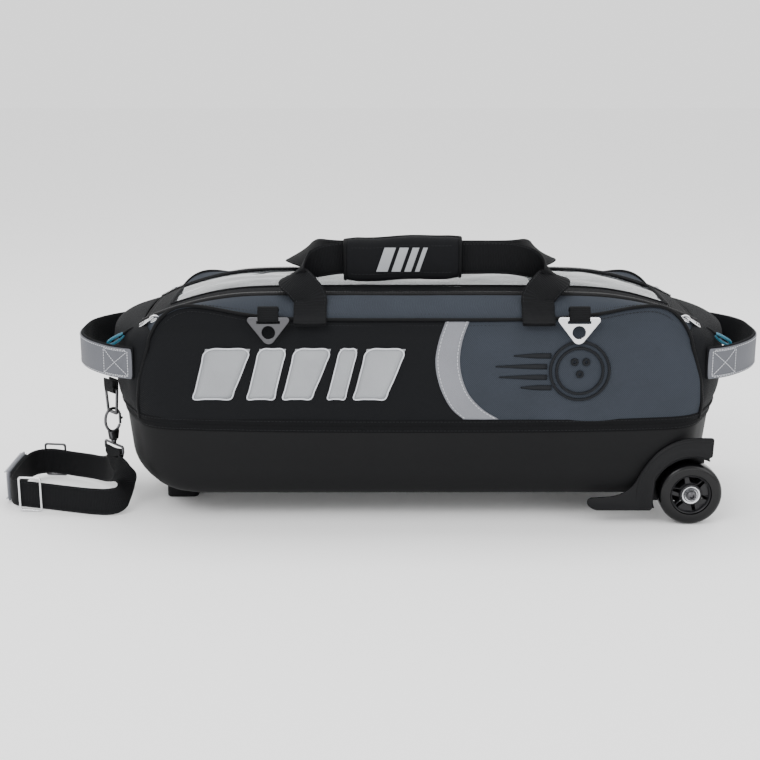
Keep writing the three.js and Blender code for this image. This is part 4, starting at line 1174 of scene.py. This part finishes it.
def handle_wrap():
    """The padded wrap: it closes over the front grip, bound round its edge, open at the rear."""
    profile = [(-49, 317.2), (-54, 316.4), (-59.5, 317.6), (-63, 322), (-64.6, 332), (-65.2, 345),
               (-64.6, 358),
               (-63, 367.5), (-59.5, 371.6), (-54, 372.6), (-49, 372)]
    ring = smooth_path([(y, z, 0) for y, z in profile], 34)
    cols = 60
    points = np.zeros((len(ring), cols, 3))
    for c in range(cols):
        s = c / (cols - 1) * 2 - 1
        pinch = 1 - 0.08 * max(0.0, abs(s) - 0.8) / 0.2
        for r, (y, z, _) in enumerate(ring):
            points[r, c] = (-22 + 76 * s, y, 345 + (z - 345) * pinch + 2.2 * s + 0.9 * math.sin(5 * s + 1))
    obj = cloth_panel("wrap_pad", points * MM, 5 * MM, "wrap_cloth", "front_handle", wrinkle=1.3 * MM,
                      flip=False)
    if obj.data.polygons[len(obj.data.polygons) // 2].normal.y > 0:
        obj.data.flip_normals()
    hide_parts("handle_wrap")
    border = np.vstack([points[:, 0], points[-1, 1:], points[::-1, -1][1:], points[0, ::-1][1:-1]])
    rod("wrap_binding", smooth_path(border[::3] * MM, 150, True), 2.3 * MM, "piping", "front_handle",
        closed=True, sides=10)
    for row in (9, len(ring) - 10):
        path = (points[row] + np.array([0, -0.4, 0])) * MM
        stitches("wrap_thread", path[3:-3], np.tile([0, -1, 0], (cols - 6, 1)), "thread", "front_handle")
    for i, (x, width) in enumerate(((-35, 15), (-15, 12), (2, 9), (16, 6))):
        bar = [(x, -16), (x + width, -16), (x + width + 11, 16), (x + 11, 16)]
        upright_plate(f"wrap_bar_{i + 1}", bar, 1.4, "stitched", "front_handle", (-0.022, -0.0662, 0.345),
                      (),
                      0.5)


def grab_handle(side):
    """A silver strap over a black padded one, sewn down at both ends with a crossed box."""
    name = "left" if side < 0 else "right"
    half = [(373, -127), (404, -112), (438, -78), (457, -40), (459.5, 0)]
    line = half + [(x, -y) for x, y in half[-2::-1]]
    stops = [((side * x, y, 221 - abs(y) * 0.02), UP) for x, y in line]
    lines = strap_lines(stops, 90, side * 1.3)
    outer = [(tuple(p * 1000), UP) for p in lines[0][::3]]
    obj, _ = strap(f"{name}_grab_strap", outer, 41, 1.8, "silver_webbing", "root", 90)
    inner_line = strap_lines(stops, 90, -side * 1.5)[0]
    inner = [(tuple(p * 1000 + np.array([0, 0, 0.8])), UP) for p in inner_line[::3]]
    lining = pad(f"{name}_grab_lining", inner, 43, 3.6, "black_cloth", "root", wrinkle=0.3)
    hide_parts(f"grab_handle_{name}")
    strap_rows(f"{name}_grab_thread", lines, (-18, 18), side * 1.2, "silver_thread", "root",
               0.03, 0.97)
    for start, end in ((0.02, 0.14), (0.86, 0.98)):
        box_stitch(f"{name}_grab_cross", lines, start, end, 16.5, side * 1.3, "silver_thread", "root")
    return lining


# ---------------------------------------------------------------- rings on the front edge
def triangle_ring(name, x, mat):
    outline = drawn((-24, 3), (24, 3), (29, 1, 26, -4), (6, -30), (0, -35, -6, -30), (-26, -4),
                    (-29, 1, -24, 3))
    slot = [(-15, -2), (-15, -5.6), (15, -5.6), (15, -2)]
    hole = arc(8.5, 0, 360, 33, 0, -17)[:-1]
    ring = upright_plate(f"{name}_triangle", outline[:-1], 2.0, mat, f"{name}_ring",
                         (x * MM, -0.1404, 0.2805),
                         (slot, hole), 0.7)
    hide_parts(f"triangle_ring_{name}")
    around = [((x, -140.4 + y, 281 + z), (1, 0, 0)) for y, z in
              ((-1.8, 13), (-3.2, 7), (-3.3, 1), (0, -3.5), (3.3, 1), (3.4, 6), (4.4, 9))]
    loop, _ = strap(f"{name}_ring_webbing", around, 27, 1.1, "webbing", "root", 36)
    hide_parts(f"ring_loop_{name}")
    over = [((x, -142.0, 293), (1, 0, 0)), ((x, -139.5, 297), (1, 0, 0)), ((x, -132.5, 293), (1, 0, 0)),
            ((x, -127.5, 288), (1, 0, 0))]
    strap(f"{name}_ring_tab", over, 27, 1.2, "webbing", "root", 20)


# ---------------------------------------------------------------- zip sliders
TAB_TILT = 0.1


def slider(name):
    """Slider, pull tab and cord loop, in the frame of the pull's own hinge."""
    joints = {j["name"]: j for j in frame["joints"]}
    x = -Vector(joints[f"{name}_slider_travel"]["axis"]).normalized()
    y = -Vector(joints[f"{name}_pull_lift"]["axis"]).normalized()
    off = x.cross(y).normalized()
    place = Vector(joints[f"{name}_pull_lift"]["pos_m"])
    body, hang = f"{name}_slider", f"{name}_pull"
    shield = drawn((-10, -2.6), (-6, -4.4), (1, -5.2), (5.4, -5.4, 5.6, -1.4), (5.6, 1.4),
                   (5.4, 5.4, 1, 5.2), (-6, 4.4), (-10, 2.6))
    top = plate(f"{name}_slider_top", shield, 1.7, "chrome", body, axes(place - off * 3.9 * MM, x, y, off),
                (), 0.7)
    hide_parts(f"zip_slider_{name}")
    plate(f"{name}_slider_skirt", shield, 1.6, "chrome", body, axes(place - off * 6.6 * MM, x, y, off), (),
          0.6)
    bridge = [place + (x * a + off * b) * MM for a, b in
              ((-7.5, -3.4), (-6.4, -0.6), (-3, 1.9), (0.6, 2.2), (3, 1.0), (4, -1), (4.2, -3.4))]
    rod(f"{name}_slider_bridge", smooth_path(bridge, 24), 1.15 * MM, "chrome", body, sides=12)
    tx = (x * math.cos(TAB_TILT) - off * math.sin(TAB_TILT)).normalized()
    tz = tx.cross(y).normalized()
    outline = drawn((-2.6, -1.2), (-2.4, -2.9, 0, -3), (8, -4.4), (12, -6), (34, -6.2), (36, -6.2, 36, -4.4),
                    (36, 4.4),
                    (36, 6.2, 34, 6.2), (12, 6), (8, 4.4), (0, 3), (-2.4, 2.9, -2.6, 1.2))
    eye = drawn((-0.9, -1.5), (7, -2.1), (8, 0, 7, 2.1), (-0.9, 1.5))
    slot = rounded(3.8, 8, 1.2, 3, 30.5, 0)
    tab = plate(f"{name}_tab", outline, 1.7, "chrome", hang, axes(place, tx, y, tz), (eye, slot),
                0.55)
    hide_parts(f"pull_tab_{name}")
    for i, a in enumerate((13.5, 17.3, 21.1)):
        bar = [(a, -3.6), (a + 1.9, -3.6), (a + 4, 3.6), (a + 2.1, 3.6)]
        plate(f"{name}_tab_bar_{i + 1}", bar, 0.4, "dark_stitch", hang,
              axes(place + tz * 0.8 * MM, tx, y, tz), (),
              0.1)
    def tab_point(a, b):
        return place + (tx * a + tz * b) * MM
    cord = [tab_point(a, b) for a,
            b in ((30.5, 0), (31.5, 2.6), (38, 3.2), (46, 2.6), (53, 1.9), (53, -1.9), (46, -2.6),
                                         (38, -3.2), (31.5, -2.6))]
    black = rod(f"{name}_pull_cord", smooth_path(cord, 60, True), 1.7 * MM, "piping", hang,
                closed=True, sides=10)
    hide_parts(f"pull_loop_{name}")
    teal = [tab_point(a, b + 1.6) for a,
            b in ((47, 1.6), (54, 2.8), (64, 3.4), (71, 2.6), (73.6, 0), (71, -2.6),
                                               (64, -3.4), (54, -2.8), (47, -1.6))]
    rod(f"{name}_teal_loop", smooth_path(teal, 50), 2.1 * MM, "teal_cord", hang, sides=12)


# ---------------------------------------------------------------- running gear
WHEEL_X, WHEEL_Z, WELL = 360.0, 42.0, 52.0


def wheel(side):
    name = "front" if side < 0 else "rear"
    body, centre = f"{name}_wheel", (WHEEL_X * MM, 0, WHEEL_Z * MM)
    def turned(label, profile, mat, replaced=None, segments=72):
        obj = lathe(f"{name}_{label}", [(r, side * h) for r, h in profile], centre, "Y", mat,
                    body if body_side else "root",
                    segments=segments)
        obj.data.set_sharp_from_angle(angle=math.radians(50))
        if replaced:
            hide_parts(replaced)
        return obj
    body_side = True
    turned("tyre", [(27, 136.6), (27.6, 137.6), (31, 138), (36, 137.7), (39.2, 136.6), (41.2, 134.4),
                    (42, 131), (42, 123),
                    (42, 115), (41.2, 111.6), (39.2, 109.4), (36, 108.3), (27.6, 108.4), (27, 109.4),
                    (27, 136.6)], "tyre",
           f"wheel_tyre_{name}", 96)
    turned("rim", [(24.2, 110), (26.6, 110), (26.9, 112), (26.9, 135.4), (26.2, 136.2), (25, 135.6),
                   (24.2, 133), (24.2, 110)],
           "hub")
    turned("boss", [(11.9, 111), (14.6, 111), (14.8, 134.6), (14, 136), (12.6, 136.2), (11.9, 135),
                    (11.9, 111)], "hub")
    holes = [arc(12.2, 0, 360, 40)[:-1]]
    for i in range(6):
        a = math.radians(60 * i + 15)
        corners = ((16.0, -0.30), (23.6, -0.40), (24.2, -0.2), (24.2, 0.2), (23.6, 0.40), (16.0, 0.30),
                   (15.2, 0))
        holes.append([(r * math.cos(a + t), r * math.sin(a + t)) for r, t in corners])
    spokes = upright_plate(f"{name}_spokes", arc(25.6, 0, 360, 72)[:-1], 12, "hub", body,
                           (WHEEL_X * MM, side * 0.1265, WHEEL_Z * MM), holes, 0.8)
    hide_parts(f"wheel_hub_{name}")
    turned("bearing", [(7.6, 110), (11.8, 110), (12.4, 111), (12.4, 136.8), (11.8, 137.7), (9.9, 137.7),
                       (9.3, 137),
                       (8.4, 136.6), (7.6, 136.6), (7.6, 110)], "bearing", f"wheel_bearing_{name}")
    body_side = False
    turned("bolt", [(0, 140.6), (2.6, 140.4), (2.9, 141.2), (3.2, 143.4), (5, 142.9), (6.4, 141.8),
                    (7.1, 140), (7.2, 136.8),
                    (5, 136.6), (5, 97), (0, 96.6)], "gunmetal", f"axle_bolt_{name}", 48)


KICK = [(226, 20.8, 305, 20.5), (308, 20.5, 308.4, 24), (312, 60)]
KICK_TOP = [(382, 93.6), (385.5, 94, 385.6, 97), (386.4, 117), (386.4, 121, 382, 121),
            (366, 121.4, 352, 120.6),
            (331, 117, 313, 101.5), (298, 86, 289, 67), (280, 46, 258, 41), (240, 38.6, 228, 38.4),
            (220, 36, 223.5, 28),
            (228, 22.5, 236, 20.8)]


def kick_plate(side):
    """Side plate with a rounded wheel arch, and the wheel well behind it."""
    name = "front" if side < 0 else "rear"
    inner = arc(WELL, 158, 66, 40, WHEEL_X, WHEEL_Z)
    outline = [(236, 20.8), *drawn((236, 20.8), *[(305, 20.5), *KICK[1:]])[1:], *inner,
               *drawn(inner[-1], *KICK_TOP)[1:-1]]
    skin = upright_plate(f"{name}_kick_plate", outline, 3.2, "moulding", "root", (0, side * 0.137, 0), (),
                         1.0)
    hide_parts(f"kick_plate_{name}")
    lower = [(309.2, 23), (310.5, 40), (312, 58)]
    rail_in = smooth_path(lower + arc(WELL + 0.3, 156, 67, 14, WHEEL_X, WHEEL_Z), 60)
    rail_out = smooth_path([(285, 22.5), (285.5, 36), (287, 54), (291, 68.5), (300, 85.5), (314, 101),
                            (332, 113.5), (352, 119),
                            (368, 120), (384.6, 120)], 60)
    shape = [(0.0, -1.2), (0.03, 1.7), (0.14, 2.0), (0.17, 1.5), (0.24, 1.8), (0.4, 3.9), (0.6, 5.2),
             (0.8, 4.8), (0.93, 2.6),
             (1.0, 0.2), (1.0, -6.0)]
    grid = np.zeros((60, len(shape), 3))
    for i in range(60):
        low = min(1.0, i / 16)
        for k, (f, rise) in enumerate(shape):
            x, z = rail_out[i] + (rail_in[i] - rail_out[i]) * f
            rise = rise if rise < 0 else rise * (0.35 + 0.65 * low)
            grid[i, k] = (x, side * (137.6 + rise), z)
    fender = piece(f"{name}_wheel_arch", grid.reshape(-1, 3) * MM, grid_faces(60, len(shape)), "moulding",
                   "root")
    weld(fender)
    if fender.data.polygons[300].normal.y * side < 0:
        fender.data.flip_normals()
    apply(fender, "SOLIDIFY", thickness=1.6 * MM, offset=-1.0)
    wall = np.array([[(x, side * y, z) for y in np.linspace(101, 136.5, 6)]
                     for x, z in arc(WELL, 64, 201, 44, WHEEL_X, WHEEL_Z)]) * MM
    lining = piece(f"{name}_wheel_well", wall.reshape(-1, 3), grid_faces(44, 6), "moulding", "root")
    weld(lining)
    apply(lining, "SOLIDIFY", thickness=2 * MM, offset=0.0)
    back = [*arc(WELL, 64, 201, 44, WHEEL_X, WHEEL_Z), (384, 23.4)]
    upright_plate(f"{name}_well_back", back, 3.6, "moulding", "root", (0, side * 0.103, 0), (), 0.02)


def stand_foot():
    flat = axes((-0.33, 0, 0.0188), (1, 0, 0), (0, 1, 0), (0, 0, 1))
    foot = plate("rubber_foot", rounded(44, 56, 8), 37.4, "moulding", "root", flat, (), 2.2)
    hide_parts("stand_foot")


# ---------------------------------------------------------------- inside
def inside():
    """Stiff board, foam tray with three seats, and two padded dividers."""
    def level(z):
        return axes((0, 0, z * MM), (1, 0, 0), (0, 1, 0), (0, 0, 1))
    board = plate("stiff_board", rounded(640, 200, 30), 3.2, "board", "root", level(43.4), (), 0.6)
    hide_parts("base_board")
    seats = [arc(62, 0, 360, 49, x, 0)[:-1] for x in (-222, 0, 222)]
    tray = plate("seat_tray", rounded(660, 206, 35), 20.4, "foam", "root", level(55.6), seats, 2.5)
    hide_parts("ball_tray")
    for name, x in (("left", -111), ("right", 111)):
        across = axes((x * MM, 0, 0.1357), (0, 1, 0), (0, 0, 1), (1, 0, 0))
        panel = plate(f"{name}_partition", rounded(234, 138, 12), 3.0, "foam", "root", across, (), 1.2)
        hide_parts(f"divider_{name}")
        edge = [Vector((x, y, z + 135.7)) * MM for y, z in rounded(234, 137, 12)]
        rod(f"{name}_partition_binding", smooth_path(edge, 120, True), 1.6 * MM, "piping", "root",
            closed=True, sides=8)


# ---------------------------------------------------------------- build, in order
camera()
tow_lines = tow_strap()
studio()


def face_cloth():
    """Black twill that turns to blue-grey twill past the crescent, divided by a curved line."""
    mat = woven("face_twill", BLACK, pitch=2.6 * MM, low=0.5, high=1.5, depth=0.3 * MM)
    tree = mat.node_tree
    scale = next(n for n in tree.nodes if n.type == "VECT_MATH")
    split = node(mat, "ShaderNodeSeparateXYZ")
    link(mat, coordinates(mat), "Object", split, 0)
    drop = math_node(mat, "SUBTRACT", (split, 2), 0.232)
    square = math_node(mat, "MULTIPLY", (drop, 0), (drop, 0))
    curve = math_node(mat, "MULTIPLY_ADD", (square, 0), 5.6, 0.036)
    past = math_node(mat, "GREATER_THAN", (split, 0), (curve, 0))
    mix = node(mat, "ShaderNodeMix", data_type="RGBA")
    mix.inputs[6].default_value = (*BLACK, 1)
    mix.inputs[7].default_value = (*GREY, 1)
    link(mat, past, 0, mix, 0)
    link(mat, mix, 2, scale, 0)
    return mat


MAT["face_cloth"] = face_cloth()
tub()
for at_rear in (False, True):
    face_points = front_panel(at_rear)
    gusset(at_rear)
    pipings(at_rear)
    zip_chain(at_rear)
    if not at_rear:
        crescent(face_points)
        slanted_bars(face_points)
        ball_mark(face_points)
for end in (-1, 1):
    end_panel(end)
seam_band()
lid()
tow_details(tow_lines)
tow_hardware()
for way in (-1, 1):
    carry_handle(way)
    grab_handle(way)
    wheel(way)
    kick_plate(way)
handle_wrap()
triangle_ring("left", -195, "gunmetal")
triangle_ring("right", 203, "chrome")
for corner in ("front_left", "front_right", "rear_left", "rear_right"):
    slider(corner)
stand_foot()
inside()
